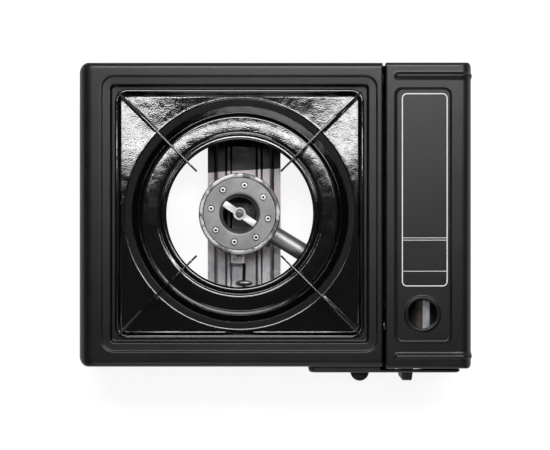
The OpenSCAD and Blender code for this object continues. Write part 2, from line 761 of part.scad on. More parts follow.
// Cross-head screw in the middle of the clamp bar
module cap_screw() {
    head_r = 3.8;
    color([0.78, 0.78, 0.78]) translate([burner_x, burner_y, clamp_top + 0.6]) difference() {
        intersection() {
            cylinder(r = head_r, h = 2.2);
            translate([0, 0, -4.6]) sphere(r = 6.8);
        }
        for (a = [clamp_turn + 20, clamp_turn + 110])
            rotate([0, 0, a]) translate([-2.2, -0.4, 1]) cube([4.4, 0.8, 2]);
    }
}

// Cast tube that carries gas and air into the bowl, wider at its mouth
module mixing_tube() {
    straight = 30;
    flare = (burner_r - bowl_low_r - 5) / (bowl_top - bowl_z - 9);
    color([0.42, 0.42, 0.42]) translate([burner_x, burner_y, tube_z]) difference() {
        rotate([0, 90, tube_dir]) {
            translate([0, 0, tube_start]) cylinder(r = tube_r, h = straight);
            translate([0, 0, tube_start + straight - eps])
                cylinder(r1 = tube_r, r2 = tube_mouth_r, h = tube_len - straight);
        }
        rod(tube_r - tube_wall, tube_start + tube_len + 1, tube_dir);
        translate([0, 0, bowl_z - 6 - tube_z])
            cylinder(r1 = bowl_low_r + 3 - 9 * flare, r2 = bowl_low_r + 3 + 21 * flare, h = 30);
    }
}

// Turning sleeve on the tube's mouth, with windows for air
module air_shutter() {
    shutter_l = 14;
    end = tube_start + tube_len;
    color([0.7, 0.7, 0.7]) translate([burner_x, burner_y, tube_z]) rotate([0, 90, tube_dir])
        translate([0, 0, end - shutter_l + 4]) difference() {
            cylinder(r = tube_mouth_r + 1.4, h = shutter_l);
            translate([0, 0, -1]) cylinder(r = tube_mouth_r + 0.1, h = shutter_l + 2);
            for (a = [0, 90, 180, 270])
                rotate([0, 0, a]) translate([tube_mouth_r - 2, -3, shutter_l - 6]) cube([6, 6, 4]);
        }
}

// ---- Valve, regulator and igniter -----------------------------------------------------------

// Distance along the mixing tube's axis from the burner axis to a plane of constant X
function along_tube(x) = (x - burner_x) / cos(tube_turn);

// Brass jet from the valve through the partition into the mixing tube's mouth
module gas_jet() {
    tip = tube_start + tube_len - 2;
    boss_end = along_tube(valve_left) - 7;
    color([0.78, 0.62, 0.3]) translate([burner_x, burner_y, tube_z]) rotate([0, 90, tube_dir])
        difference() {
            union() {
                translate([0, 0, tip]) cylinder(r1 = 1.4, r2 = jet_r, h = 4);
                translate([0, 0, tip + 4 - eps]) cylinder(r = jet_r, h = boss_end - tip - 8);
                translate([0, 0, boss_end - 5]) cylinder(r = 4.6, h = 5, $fn = 6);
            }
            translate([0, 0, tip - 1]) cylinder(r = 0.5, h = 4);
        }
}

// Zinc casting: regulator barrel with a side chamber, valve block and spindle boss
module regulator_body() {
    block_w = 22;
    block_h = 24;
    color([0.4, 0.36, 0.34]) difference() {
        union() {
            translate([cartridge_x, reg_front, cartridge_z]) rotate([-90, 0, 0])
                cylinder(r = regulator_r, h = reg_rear - reg_front);
            translate([cartridge_x, reg_rear - eps, cartridge_z]) rotate([-90, 0, 0])
                cylinder(r = 13, h = inlet_y - reg_rear);
            translate([valve_left, reg_front, knob_z - block_h / 2 + 3])
                cube([block_w, reg_rear - reg_front - 6, block_h]);
            translate([knob_x, bracket_y - 1.5, knob_z]) rotate([-90, 0, 0]) cylinder(r = 7, h = 8);
            translate([cartridge_x, (reg_front + reg_rear) / 2, cartridge_z]) rotate([0, 90, 0])
                cylinder(r = regulator_r - 2.5, h = regulator_r + 1.5);
            translate([burner_x, burner_y, tube_z]) rotate([0, 90, tube_dir])
                translate([0, 0, along_tube(valve_left) - 7]) cylinder(r = boss_r, h = 14);
        }
        translate([cartridge_x, inlet_y - inlet_depth, cartridge_z])
            rotate([-90, 0, 0]) cylinder(r = inlet_r, h = inlet_depth + 1);
        translate([knob_x, bracket_y - 3, knob_z])
            rotate([-90, 0, 0]) cylinder(r = spindle_r + run_fit, h = 16);
    }
}

// Domed steel cover over the regulator's diaphragm
module regulator_cover() {
    side = cartridge_x + regulator_r + 1.5;
    cover_r = regulator_r - 2.5;
    color([0.72, 0.72, 0.7]) translate([side, (reg_front + reg_rear) / 2, cartridge_z])
        rotate([0, 90, 0]) rotate_extrude()
            polygon([[0, 0], [cover_r, 0], [cover_r, 1.2], [cover_r - 4, 1.2], [cover_r - 6, 5],
                [4, 6], [3, 8], [0, 8]]);
}

// Four screws round the diaphragm cover
module regulator_screws() {
    side = cartridge_x + regulator_r + 1.5 + 1.2;
    color([0.75, 0.75, 0.73]) translate([side, (reg_front + reg_rear) / 2, cartridge_z])
        for (k = [0:3])
            rotate([45 + 90 * k, 0, 0]) translate([0, regulator_r - 4.5, 0]) rotate([0, 90, 0])
                cylinder(r = 1.9, h = 1.6);
}

// Galvanised bracket: front plate, foot on the tray, and the strap over the regulator
module regulator_bracket() {
    t = 1.5;
    strap_w = 6;
    strap_z = cartridge_z + regulator_r + 6.5;
    left = valve_left + 1;
    right = cartridge_x + regulator_r + 7;
    color([0.75, 0.75, 0.74]) difference() {
        union() {
            translate([left, bracket_y, z_floor + 5]) cube([right - left, t, strap_z - z_floor - 5]);
            translate([cartridge_x + 14, bracket_y, z_floor]) cube([right - cartridge_x - 14, t, 6]);
            translate([cartridge_x + 14, bracket_y - 8, z_floor]) cube([right - cartridge_x - 14, 9, t]);
            translate([cartridge_x - strap_w / 2, bracket_y, strap_z - t])
                cube([strap_w, inlet_y - bracket_y, t]);
            translate([cartridge_x - strap_w / 2, inlet_y - t, cartridge_z + 14])
                cube([strap_w, t, strap_z - cartridge_z - 14]);
        }
        translate([knob_x, bracket_y - 1, knob_z]) rotate([-90, 0, 0]) cylinder(r = 7.2, h = t + 2);
    }
}

// Rubber ring that the cartridge's nozzle seals against
module inlet_seal() {
    color([0.1, 0.1, 0.1]) translate([cartridge_x, inlet_y, cartridge_z]) rotate([-90, 0, 0])
        difference() {
            cylinder(r = inlet_r + 3.2, h = 2);
            translate([0, 0, -1]) cylinder(r = inlet_r + 0.4, h = 4);
        }
}

// Pin that enters the notch in a cartridge's collar
module locating_pin() {
    color([0.8, 0.8, 0.78]) translate([cartridge_x, inlet_y, cartridge_z + 17.5])
        rotate([-90, 0, 0]) {
            cylinder(r = 2, h = 5);
            translate([0, 0, 5 - eps]) cylinder(r1 = 2, r2 = 1, h = 1.5);
        }
}

// Steel spindle from the knob into the valve, flattened where the knob grips it
module valve_spindle() {
    tip = y_face + 1.5;
    color([0.7, 0.66, 0.5]) translate([knob_x, tip, knob_z]) rotate([-90, 0, 0]) difference() {
        cylinder(r = spindle_r, h = bracket_y + 10 - tip);
        translate([spindle_r - 1, -spindle_r - 1, -1]) cube([2, 2 * spindle_r + 2, cup_depth - 2]);
    }
}

// Cam on the spindle that trips the igniter at the end of its turn
module ignition_cam() {
    cam_t = 4;
    nose = 9;
    color([0.85, 0.83, 0.75]) translate([knob_x, cup_back + fascia_t + 1, knob_z]) rotate([-90, 0, 0])
        difference() {
            union() {
                cylinder(r = 5.4, h = cam_t);
                translate([-2.4, -nose, 0]) cube([4.8, nose, cam_t]);
            }
            translate([0, 0, -1]) cylinder(r = spindle_r, h = cam_t + 2);
        }
}

// Knob: a disc in the panel's well with a straight grip across it
module control_knob() {
    back = cup_back - 0.6;
    disc_front = y_face + 2;
    grip_w = 11;
    grip_l = 2 * knob_r - 3;
    grip_back = y_face - grip_proud;
    hub_r = spindle_r + 3;
    color([0.12, 0.12, 0.12]) translate([knob_x, 0, knob_z]) difference() {
        union() {
            translate([0, disc_front, 0]) rotate([-90, 0, 0]) rotate_extrude()
                polygon([[0, 0], [knob_r - 2, 0], [knob_r, 2], [knob_r, 5], [knob_r - 1.5, 5],
                    [knob_r - 1.5, 3], [0, 3]]);
            translate([0, disc_front, 0]) rotate([-90, 0, 0]) cylinder(r = hub_r, h = back - disc_front);
            rotate([0, 90, 0]) translate([-grip_l / 2, 0, 0]) linear_extrude(grip_w, center = true)
                polygon([[0, disc_front + 1], [grip_l, disc_front + 1], [grip_l - 3, grip_back + 1.5],
                    [grip_l - 5, grip_back], [5, grip_back], [3, grip_back + 1.5]]);
        }
        translate([0, y_face + 1.5, 0]) rotate([-90, 0, 0]) difference() {
            cylinder(r = spindle_r, h = 20);
            translate([spindle_r - 1, -10, -1]) cube([2, 20, cup_depth - 2]);
        }
    }
}

// Push-to-spark igniter beside the spindle
module igniter_body() {
    w = 14;
    d = 11;
    y = igniter_y - d / 2;
    top = z_floor + 22;
    color([0.09, 0.09, 0.1]) {
        translate([igniter_left, y, z_floor]) cube([w, d, top - z_floor]);
        translate([igniter_left + w / 2, igniter_y, top - eps]) cylinder(r = 2.6, h = 6);
    }
}

// Rubber-covered lead from the igniter to the electrode
module ignition_lead() {
    color([0.05, 0.05, 0.05]) swept_tube(smooth(lead_route, 4), lead_r, 8);
}

// Rubber grommet where the lead passes the partition
module lead_grommet() {
    bore = lead_r + 0.15;
    color([0.1, 0.1, 0.1]) translate([partition_x + sheet / 2, igniter_y, lead_z])
        rotate([0, 90, 0]) rotate_extrude()
            polygon([[bore, -2.5], [lead_r + 4, -2.5], [lead_r + 4, -sheet / 2 - 0.05],
                [lead_r + 1.9, -sheet / 2 - 0.05], [lead_r + 1.9, sheet / 2 + 0.05],
                [lead_r + 4, sheet / 2 + 0.05], [lead_r + 4, 2.5], [bore, 2.5]]);
}

// Arched tab that holds the lead down on the bracket
module lead_clip() {
    clip_l = 16;
    clip_w = 4;
    t = 0.8;
    top = web_z + 2 * lead_r + 0.6;
    color([0.75, 0.75, 0.75]) translate([lead_route[clip_point][0], lead_route[clip_point][1], 0])
        rotate([90, 0, 0]) linear_extrude(clip_w, center = true)
            polygon([[-clip_l / 2, web_z], [-clip_l / 2 + 2.5, web_z], [-3, top - 0.4], [3, top - 0.4],
                [clip_l / 2 - 2.5, web_z], [clip_l / 2, web_z], [4.2, top - 0.6], [3, top + t],
                [-3, top + t], [-4.2, top - 0.6]]);
}

// ---- Electrode, below the burner's front edge -----------------------------------------------

// Pressed clip that holds the electrode's ceramic beside the bowl
module electrode_clip() {
    t = 1;
    clip_z = ceramic_z + 8;
    wall = burner_y - electrode_y - bowl_low_r - 5.5;
    color([0.82, 0.82, 0.8]) difference() {
        union() {
            translate([electrode_x - 7, electrode_y - 4.5, clip_z]) cube([12, wall + 4.5, t]);
            translate([electrode_x - 7, electrode_y + wall - t, clip_z - 5]) cube([12, t, 6]);
        }
        translate([electrode_x, electrode_y, clip_z - 1]) cylinder(r = 2.6, h = t + 2);
        translate([electrode_x - 4.4, electrode_y - 1, clip_z - 1]) cylinder(r = 0.9, h = t + 2);
    }
}

// Glazed ceramic sleeve of the electrode
module electrode_ceramic() {
    bore = 0.8;
    color([0.93, 0.92, 0.88]) translate([electrode_x, electrode_y, ceramic_z]) rotate_extrude()
        polygon([[bore, 0], [2.5, 0], [2.5, 4], [3.3, 5], [3.3, 7.9], [2.5, 7.9],
            [2.5, ceramic_top - ceramic_z], [1.8, ceramic_top + 1 - ceramic_z],
            [bore, ceramic_top + 1 - ceramic_z]]);
}

// Wire of the electrode, bent towards the burner ring
module electrode_wire() {
    r = 0.75;
    bend = 2;
    top = cap_top - 4;
    color([0.6, 0.6, 0.6]) translate([electrode_x, electrode_y, 0]) {
        translate([0, 0, ceramic_z - 1]) cylinder(r = r, h = top - bend - ceramic_z + 1);
        translate([0, bend, top - bend]) rotate([90, 0, -90]) rotate_extrude(angle = 90)
            translate([bend, 0]) circle(r);
    }
}

// ---- Lock lever and cartridge carrier -------------------------------------------------------

// Stamped lever that passes the front slot and turns on the shaft
module lock_lever() {
    reach = pivot_y - y_face + 6;
    rise = tab_z - pivot_z;
    color([0.7, 0.71, 0.72]) translate([lever_x - 1, pivot_y, pivot_z]) rotate([90, 0, 90])
        linear_extrude(2) difference() {
            union() {
                circle(6.5);
                polygon([[-5, -4], [4, 5], [-11, rise + 4], [-reach, rise + 4], [-reach, rise - 4],
                    [-17, rise - 4]]);
            }
            circle(shaft_r + eps);
        }
}

// Half-round plastic tab on the lever's end
module lever_tab() {
    gap = 0.8;
    t = 7;
    straight = tab_reach - gap - tab_w / 2;
    color([0.1, 0.1, 0.1]) difference() {
        translate([lever_x, y_face - gap, tab_z - t / 2]) linear_extrude(t) intersection() {
            translate([0, -straight]) union() {
                circle(tab_w / 2);
                translate([-tab_w / 2, 0]) square([tab_w, straight + 1]);
            }
            translate([-tab_w, -tab_reach]) square([2 * tab_w, tab_reach]);
        }
        translate([lever_x - 1, y_face - 6, tab_z - 4 - eps]) cube([2, 8, 8 + 2 * eps]);
    }
}

// Shaft that carries the lever and the crank through the partition
module lever_shaft() {
    left = lever_x - 12;
    right = partition_x + sheet + 7;
    color([0.72, 0.72, 0.73]) translate([left, pivot_y, pivot_z]) rotate([0, 90, 0])
        cylinder(r = shaft_r, h = right - left);
}

// Crank on the shaft's end, whose pin drives the carrier
module lever_crank() {
    x = partition_x + sheet + 4.5;
    t = 1.5;
    color([0.68, 0.69, 0.7]) translate([x, pivot_y, pivot_z]) rotate([-lever_swing / 2, 0, 0]) {
        rotate([90, 0, 90]) linear_extrude(t) difference() {
            union() {
                circle(6.5);
                translate([0, crank_l]) circle(pin_r + 3);
                translate([-pin_r - 2, 0]) square([2 * pin_r + 4, crank_l]);
            }
            circle(shaft_r + eps);
        }
        translate([t - eps, 0, crank_l]) rotate([0, 90, 0]) cylinder(r = pin_r, h = 5);
    }
}

// Small folded bearing for the shaft's left end, riveted to the partition
module lever_bracket() {
    t = 1.5;
    left = lever_x - 10.5;
    d = 18;
    low = pivot_z - 12;
    color([0.6, 0.6, 0.62]) difference() {
        union() {
            translate([left, pivot_y - d / 2, low]) cube([t, d, 22]);
            translate([left, pivot_y - d / 2, low]) cube([partition_x - left, d, t]);
            translate([partition_x - t, pivot_y - d / 2, z_floor + 1]) cube([t, d, low - z_floor]);
        }
        translate([left - 1, pivot_y, pivot_z]) rotate([0, 90, 0]) cylinder(r = shaft_r + run_fit, h = t + 2);
    }
}

// Coil spring round the shaft that lifts the lever again
function coil(k, steps) = [lever_x + 3.2 + spring_pitch * k / steps,
    pivot_y + spring_r * sin(360 * k / steps), pivot_z - spring_r * cos(360 * k / steps)];

module lever_spring() {
    steps = 10;
    turns = [for (k = [0:spring_turns * steps]) coil(k, steps)];
    foot = [turns[len(turns) - 1] + [0, 3, 0], turns[len(turns) - 1] + [0, 8, 0]];
    color([0.7, 0.7, 0.72]) swept_tube(concat(turns, foot), spring_wire, 6);
}

// Sliding carrier: a strip under the cartridge with a rear stop and an ear for the crank's pin
module cartridge_carrier() {
    t = sheet;
    rear = inlet_y + cartridge_l;
    ear_x = partition_x + sheet + 7.8;
    ear_w = 12;
    ear_top = pivot_z + crank_l + pin_r + 5;
    arm_y = pivot_y - 4;
    pin_y = pivot_y + crank_l * sin(lever_swing / 2);
    color([0.7, 0.71, 0.73]) difference() {
        union() {
            translate([cartridge_x - carrier_w / 2, arm_y, carrier_z]) cube([carrier_w, rear - arm_y, t]);
            translate([ear_x, arm_y, carrier_z]) cube([cartridge_x - ear_x, 14, t]);
            translate([ear_x, pin_y - ear_w / 2, carrier_z]) cube([t, ear_w, ear_top - carrier_z]);
            translate([cartridge_x - carrier_w / 2, rear, carrier_z]) cube([carrier_w, t, 46]);
        }
        translate([ear_x - 1, pin_y, pivot_z + crank_l * cos(lever_swing / 2)]) rotate([90, 0, 90])
            linear_extrude(t + 2) round_rect(2 * pin_r + 0.6, 2 * pin_r + 1.6, pin_r);
        translate([cartridge_x, inlet_y + 20, carrier_z - 1]) linear_extrude(t + 2)
            round_rect(8, 30, 3.9);
        translate([cartridge_x, inlet_y + 100, carrier_z - 1]) linear_extrude(t + 2)
            round_rect(8, 30, 3.9);
    }
}

// Bowed leaf on the rear stop that presses on the cartridge's base
module carrier_spring() {
    rear = inlet_y + cartridge_l;
    bow = 2.4;
    t = 0.6;
    w = 12;
    color([0.8, 0.8, 0.8]) translate([cartridge_x - w / 2, rear, cartridge_z - 14]) rotate([90, 0, 90])
        linear_extrude(w)
            polygon([[0, 0], [0, 6], [-bow, 14], [-0.3, 22], [-0.3 - t, 22], [-bow - t, 14], [-t, 6], [-t, 0]]);
}

// ---- Lid ------------------------------------------------------------------------------------

module lid_block(inset, z0) {
    lid_d = y_rear - y_lid;
    rolled_block(x_lid + inset, y_lid + inset, z0, lid_w - 2 * inset, lid_d - 2 * inset,
        hob_h - inset - z0, 2 - inset / 2, 10 - inset, 3.5 - inset);
}

// Pressed lid over the bay, open below: sunk panel, viewing hole and a bead at each end
module cartridge_lid() {
    lid_d = y_rear - y_lid;
    panel_w = lid_w - panel_margins[0] - panel_margins[1];
    panel_d = lid_d - panel_margins[2] - panel_margins[3];
    panel_x = x_lid + panel_margins[0] + panel_w / 2;
    panel_y = y_lid + panel_margins[2] + panel_d / 2;
    view_x = x_lid + 32.6;
    view_y = y_lid + view_from_front;
    color([0.27, 0.27, 0.29]) difference() {
        union() {
            difference() {
                lid_block(0, lid_drop_z);
                lid_block(sheet, lid_drop_z - 1);
                lid_side_cuts();
            }
            translate([panel_x, panel_y, hob_h - panel_depth - sheet]) linear_extrude(panel_depth + sheet - eps)
                round_rect(panel_w + 2 * sheet, panel_d + 2 * sheet, 5.5 + sheet);
            for (y = [y_lid + 11, y_rear - 11.8]) lid_bead(y);
        }
        translate([panel_x, panel_y, hob_h - panel_depth]) linear_extrude(panel_depth + 1)
            round_rect(panel_w, panel_d, 5.5);
        translate([view_x, view_y, hob_h - 10]) cylinder(r = view_r, h = 20);
        for (y = [y_lid, y_rear])
            translate([hinge_x, y - 2, hinge_z]) rotate([-90, 0, 0]) cylinder(r = hinge_pin_r + run_fit, h = 4);
    }
    color([0.27, 0.27, 0.29]) translate([view_x, view_y, hob_h - panel_depth]) rotate_extrude()
        polygon([[view_r, -sheet], [view_r + 2, -sheet], [view_r + 3.4, 0], [view_r + 2.4, 1.2],
            [view_r + 0.8, 1.2], [view_r, 0.4]]);
}

// Removes the lid's left wall and the lower part of its end walls
module lid_side_cuts() {
    flange_z = hob_h - 13;
    lid_d = y_rear - y_lid;
    translate([x_lid - 1, y_lid + sheet, lid_drop_z - 1])
        cube([3, lid_d - 2 * sheet, hob_h - lid_drop_z - 4]);
    translate([x_lid - 1, y_lid - 1, lid_drop_z - 1])
        cube([lid_w + 1 - fascia_in + lid_clear, lid_d + 2, flange_z - lid_drop_z + 1]);
}

// Raised bead across the lid and over its right edge
module lid_bead(y) {
    bead_r = 3.4;
    start = x_lid + 7.5 + bead_r;
    end = x_right - 6;
    translate([0, y, hob_h - bead_r + bead_rise]) difference() {
        union() {
            translate([start, 0, 0]) sphere(r = bead_r);
            translate([start, 0, 0]) rotate([0, 90, 0]) cylinder(r = bead_r, h = end - start);
        }
        translate([x_lid, -10, -20]) cube([lid_w + 9, 20, 20 + bead_r - bead_rise - sheet]);
    }
}

// Pins at the front and rear that the lid turns on
module lid_hinge_pins() {
    shank = sheet + lid_clear + sheet;
    color([0.7, 0.7, 0.72])
        for (side = [-1, 1])
            translate([hinge_x, side < 0 ? tray_front + sheet : tray_rear - sheet, hinge_z])
                rotate([side < 0 ? 90 : -90, 0, 0]) {
                    translate([0, 0, -1.5]) cylinder(r = hinge_pin_r + 1, h = 1.5);
                    cylinder(r = hinge_pin_r, h = shank + (side < 0 ? lid_front_proud : 0));
                }
}

// ---- Drip pan and pot supports --------------------------------------------------------------

// Square enamelled pan: rolled rim, flat corners, round trough and a lipped centre hole
module drip_pan() {
    lip_r = 2.6;
    lip_z = trough_z + 7.6;
    t = pan_sheet;
    reach = norm(tub_size);
    color([0.05, 0.05, 0.06]) {
        intersection() {
            translate([burner_x, burner_y, 0]) rotate_extrude() union() {
                translate([pan_hole_r + lip_r, lip_z]) circle(lip_r);
                polygon([[pan_hole_r + lip_r, lip_z + lip_r], [78, trough_z + 6.4], [85, trough_z + 3.2],
                    [trough_r - 2, trough_z + 0.6], [trough_r, trough_z], [trough_r + 2, trough_z + 0.8],
                    [trough_edge_r - 1, pan_floor_z - 0.6], [trough_edge_r + 1, pan_floor_z],
                    [reach, pan_floor_z], [reach, pan_floor_z - t], [trough_edge_r + 1.5, pan_floor_z - t],
                    [trough_edge_r - 0.4, pan_floor_z - 1.6], [trough_r + 2, trough_z + 0.8 - 1.4],
                    [trough_r, trough_z - t], [trough_r - 2, trough_z + 0.6 - t], [85, trough_z + 3.2 - 1.2],
                    [78, trough_z + 6.4 - 1.2], [pan_hole_r + lip_r, lip_z + lip_r - 1.2]]);
            }
            burner_block(tub_size, tub_corner, trough_z - 2, hob_h);
        }
        burner_frame(tub_size, tub_size - 2 * t * both, tub_corner, tub_corner - t, pan_floor_z - t,
            pan_rim_z);
        burner_frame(pan_size, tub_size - 2 * t * both, tub_corner + pan_rim_w, tub_corner - t, ledge_z,
            pan_rim_z);
        pan_bead();
    }
}

// Half-round bead along the pan's rim
module pan_bead() {
    r = pan_rim_w / 2;
    corner = tub_corner + pan_rim_w - r;
    reach = pan_size / 2 - r * both;
    straight = reach - corner * both;
    translate([burner_x, burner_y, pan_rim_z]) difference() {
        union() {
            for (side = [-1, 1]) {
                translate([side * reach[0], 0, 0]) rotate([90, 0, 0])
                    cylinder(r = r, h = 2 * straight[1], center = true);
                translate([0, side * reach[1], 0]) rotate([0, 90, 0])
                    cylinder(r = r, h = 2 * straight[0], center = true);
            }
            for (c = [[1, 1, 0], [-1, 1, 90], [-1, -1, 180], [1, -1, 270]])
                translate([c[0] * straight[0], c[1] * straight[1], 0]) rotate([0, 0, c[2]])
                    rotate_extrude(angle = 90) translate([corner, 0]) circle(r);
        }
        translate([0, 0, -3]) cube([2 * pan_size[0], 2 * pan_size[1], 6], center = true);
    }
}

// Pot support: an upright blade over a flat foot that is welded to the pan's floor
module pan_support(turn) {
    foot_in = trough_edge_r + 2;
    foot_t = 1.5;
    weld_z = pan_floor_z;
    rim_top = pan_rim_z + pan_rim_w / 2 + 0.5;
    color([0.06, 0.06, 0.07]) translate([burner_x, burner_y, 0]) rotate([0, 0, turn]) {
        rotate([90, 0, 0]) linear_extrude(support_t, center = true) difference() {
            polygon([[foot_in, weld_z], [support_foot_r, weld_z], [support_foot_r, rim_top],
                [support_foot_r + 7, rim_top], [support_foot_r + 7, rim_top + 2],
                [support_foot_r - 26.8, support_z], [support_tip_r + 5, support_z],
                [support_tip_r, support_z - 6], [support_tip_r, support_z - 12],
                [support_tip_r + 6, support_z - 13], [support_tip_r + 28, support_z - 18],
                [foot_in - 10.2, support_z - 25]]);
            translate([support_foot_r - 34, support_z - 15]) round_rect(24, 9, 4.4);
        }
        translate([foot_in, -support_foot_w / 2, weld_z])
            cube([support_foot_r - foot_in, support_foot_w, foot_t]);
    }
}

body_shell();
front_panel();
partition_plate();
compartment_tray();
cartridge_rails();
burner_bracket();
bracket_rivets();
burner_body();
burner_cap();
burner_ring();
burner_post();
cap_clamp_bar();
cap_screw();
mixing_tube();
air_shutter();
gas_jet();
regulator_body();
regulator_cover();
regulator_screws();
regulator_bracket();
inlet_seal();
locating_pin();
valve_spindle();
ignition_cam();
control_knob();
igniter_body();
ignition_lead();
lead_grommet();
lead_clip();
electrode_clip();
electrode_ceramic();
electrode_wire();
lock_lever();
lever_tab();
lever_shaft();
lever_crank();
lever_bracket();
lever_spring();
cartridge_carrier();
carrier_spring();
cartridge_lid();
lid_hinge_pins();
drip_pan();
pan_support(180 - corner_turn);  // pan_support_rear_left
pan_support(corner_turn);  // pan_support_rear_right
pan_support(180 + corner_turn);  // pan_support_front_left
pan_support(-corner_turn);  // pan_support_front_right
foot(x_left + foot_side_in, y_rear - foot_end_in);  // foot_rear_left
foot(x_right - foot_side_in, y_rear - foot_end_in);  // foot_rear_right
foot(x_left + foot_side_in, y_hob + foot_end_in);  // foot_front_left
foot(x_right - foot_side_in, y_hob + foot_end_in);  // foot_front_right
panel_screws();
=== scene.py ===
import bmesh
import bpy
import numpy as np
from mathutils import Matrix, Vector


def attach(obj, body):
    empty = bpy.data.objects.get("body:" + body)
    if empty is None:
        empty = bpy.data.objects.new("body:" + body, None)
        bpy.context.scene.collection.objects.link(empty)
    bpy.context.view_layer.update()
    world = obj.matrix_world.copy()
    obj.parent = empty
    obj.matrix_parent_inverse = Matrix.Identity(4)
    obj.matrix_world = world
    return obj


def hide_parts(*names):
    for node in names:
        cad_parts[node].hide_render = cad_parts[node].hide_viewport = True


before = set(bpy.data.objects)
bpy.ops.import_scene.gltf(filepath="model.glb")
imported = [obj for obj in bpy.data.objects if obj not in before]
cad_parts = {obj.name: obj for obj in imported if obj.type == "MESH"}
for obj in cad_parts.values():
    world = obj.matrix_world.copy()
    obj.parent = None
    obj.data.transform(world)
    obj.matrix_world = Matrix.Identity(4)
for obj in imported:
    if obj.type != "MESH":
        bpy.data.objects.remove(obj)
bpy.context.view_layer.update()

# ---- Studio ---------------------------------------------------------------------------------
# A camera straight above, a narrow strip light over the pan's rear half, soft boxes high behind the
# rear edge and in front, three low fills, and a floor of white card that the camera sees as plain white.
scene = bpy.context.scene
scene.view_settings.view_transform = "Standard"
mm = 0.001


def linear(code):
    """Linear colour of an sRGB hex code: ((c + 0.055) / 1.055)^2.4, or c / 12.92 near black."""
    c = np.array([int(code[k:k + 2], 16) for k in (0, 2, 4)]) / 255
    c = np.where(c > 0.04045, ((c + 0.055) / 1.055) ** 2.4, c / 12.92)
    return (float(c[0]), float(c[1]), float(c[2]), 1.0)


def add(tree, kind, settings=None, feeds=None):
    """One shader node of a kind, with its settings and the sockets that feed its inputs."""
    node = tree.nodes.new("ShaderNode" + kind)
    for key, value in (settings or {}).items():
        if isinstance(key, int) or key in node.inputs:
            node.inputs[key].default_value = value
        else:
            setattr(node, key, value)
    for key, socket in (feeds or {}).items():
        tree.links.new(socket, node.inputs[key])
    return node


camera = bpy.data.objects.new("camera", bpy.data.cameras.new("camera"))
camera.location = (-0.0001, -0.00096, 1.186)
camera.data.lens = 82.4
scene.collection.objects.link(camera)
scene.camera = camera

# Each lamp has its place, its width and height in metres and its radiance, and faces the stove.
aim = Vector((0, 0, 0.07))
lamps = [("strip", (0.0, 0.15, 1.36), (0.7, 0.045), 13.0),
         ("rear_soft", (0.12, 0.66, 1.28), (1.5, 0.34), 12.0),
         ("left_fill", (-1.7, -0.2, 0.13), (1.0, 0.2), 1.2),
         ("right_fill", (1.7, -0.1, 0.13), (1.0, 0.2), 1.2),
         ("front_fill", (0.1, -1.7, 0.13), (1.2, 0.2), 1.6),
         ("front_soft", (-0.1, -0.95, 1.0), (0.7, 0.3), 3.0)]
for name, place, (width, height), radiance in lamps:
    lamp = bpy.data.lights.new(name, "AREA")
    lamp.shape = "RECTANGLE"
    lamp.size, lamp.size_y = width, height
    lamp.energy = radiance * np.pi * width * height
    holder = bpy.data.objects.new(name, lamp)
    holder.location = place
    holder.rotation_euler = (aim - Vector(place)).to_track_quat("-Z", "Y").to_euler()
    scene.collection.objects.link(holder)

# The room is white to the camera and dim grey to every other ray.
world = bpy.data.worlds.new("studio")
world.use_nodes = True
scene.world = world
tree = world.node_tree
tree.nodes.clear()
seen = add(tree, "LightPath").outputs["Is Camera Ray"]
dim = add(tree, "Background", {"Color": linear("57575a"), "Strength": 0.5})
white = add(tree, "Background", {"Color": (1, 1, 1, 1), "Strength": 1.0})
both = add(tree, "MixShader", feeds={0: seen, 1: dim.outputs[0], 2: white.outputs[0]})
add(tree, "OutputWorld", feeds={"Surface": both.outputs[0]})

# White card: plain white to the camera, and it keeps soft shadows. For reflections its own glow is
# held back to two fifths where it lies flat, and fades further up the curve behind it, as in a dark room.
paper = bpy.data.materials.new("white_card")
paper.use_nodes = True
tree = paper.node_tree
tree.nodes.clear()
rays = add(tree, "LightPath")
height = add(tree, "SeparateXYZ", feeds={0: add(tree, "TexCoord").outputs["Object"]}).outputs["Z"]
glow_share = add(tree, "MapRange", {"From Min": 0.02, "From Max": 0.3, "To Min": 0.4, "To Max": 0.06},
                 {"Value": height})
mirrored = add(tree, "Math", {"operation": "MULTIPLY"},
               {0: rays.outputs["Is Glossy Ray"], 1: glow_share.outputs[0]})
seen = add(tree, "Math", {"operation": "MAXIMUM"},
           {0: rays.outputs["Is Camera Ray"], 1: mirrored.outputs[0]})
seen = add(tree, "Math", {"operation": "MAXIMUM"},
           {0: seen.outputs[0], 1: rays.outputs["Is Transmission Ray"]})
card = add(tree, "BsdfDiffuse", {"Color": linear("e9e9e9")})
shade = add(tree, "BsdfDiffuse", {"Color": linear("909090")})
glow = add(tree, "Emission", {"Color": (1, 1, 1, 1), "Strength": 0.88})
bright = add(tree, "AddShader", feeds={0: shade.outputs[0], 1: glow.outputs[0]})
both = add(tree, "MixShader", feeds={0: seen.outputs[0], 1: card.outputs[0], 2: bright.outputs[0]})
add(tree, "OutputMaterial", feeds={"Surface": both.outputs[0]})


def skin(name, grid, closed=True):
    """Mesh of a grid of points P[row][column]: each face joins two rows and two columns, and where
    closed is set the last column joins the first."""
    rows, columns = grid.shape[:2]
    last = columns if closed else columns - 1
    i, j = np.meshgrid(np.arange(rows - 1), np.arange(last), indexing="ij")
    k = (j + 1) % columns
    faces = np.stack([i * columns + j, i * columns + k, (i + 1) * columns + k, (i + 1) * columns + j], -1)
    mesh = bpy.data.meshes.new(name)
    mesh.from_pydata(grid.reshape(-1, 3).tolist(), [], faces.reshape(-1, 4).tolist())
    return mesh


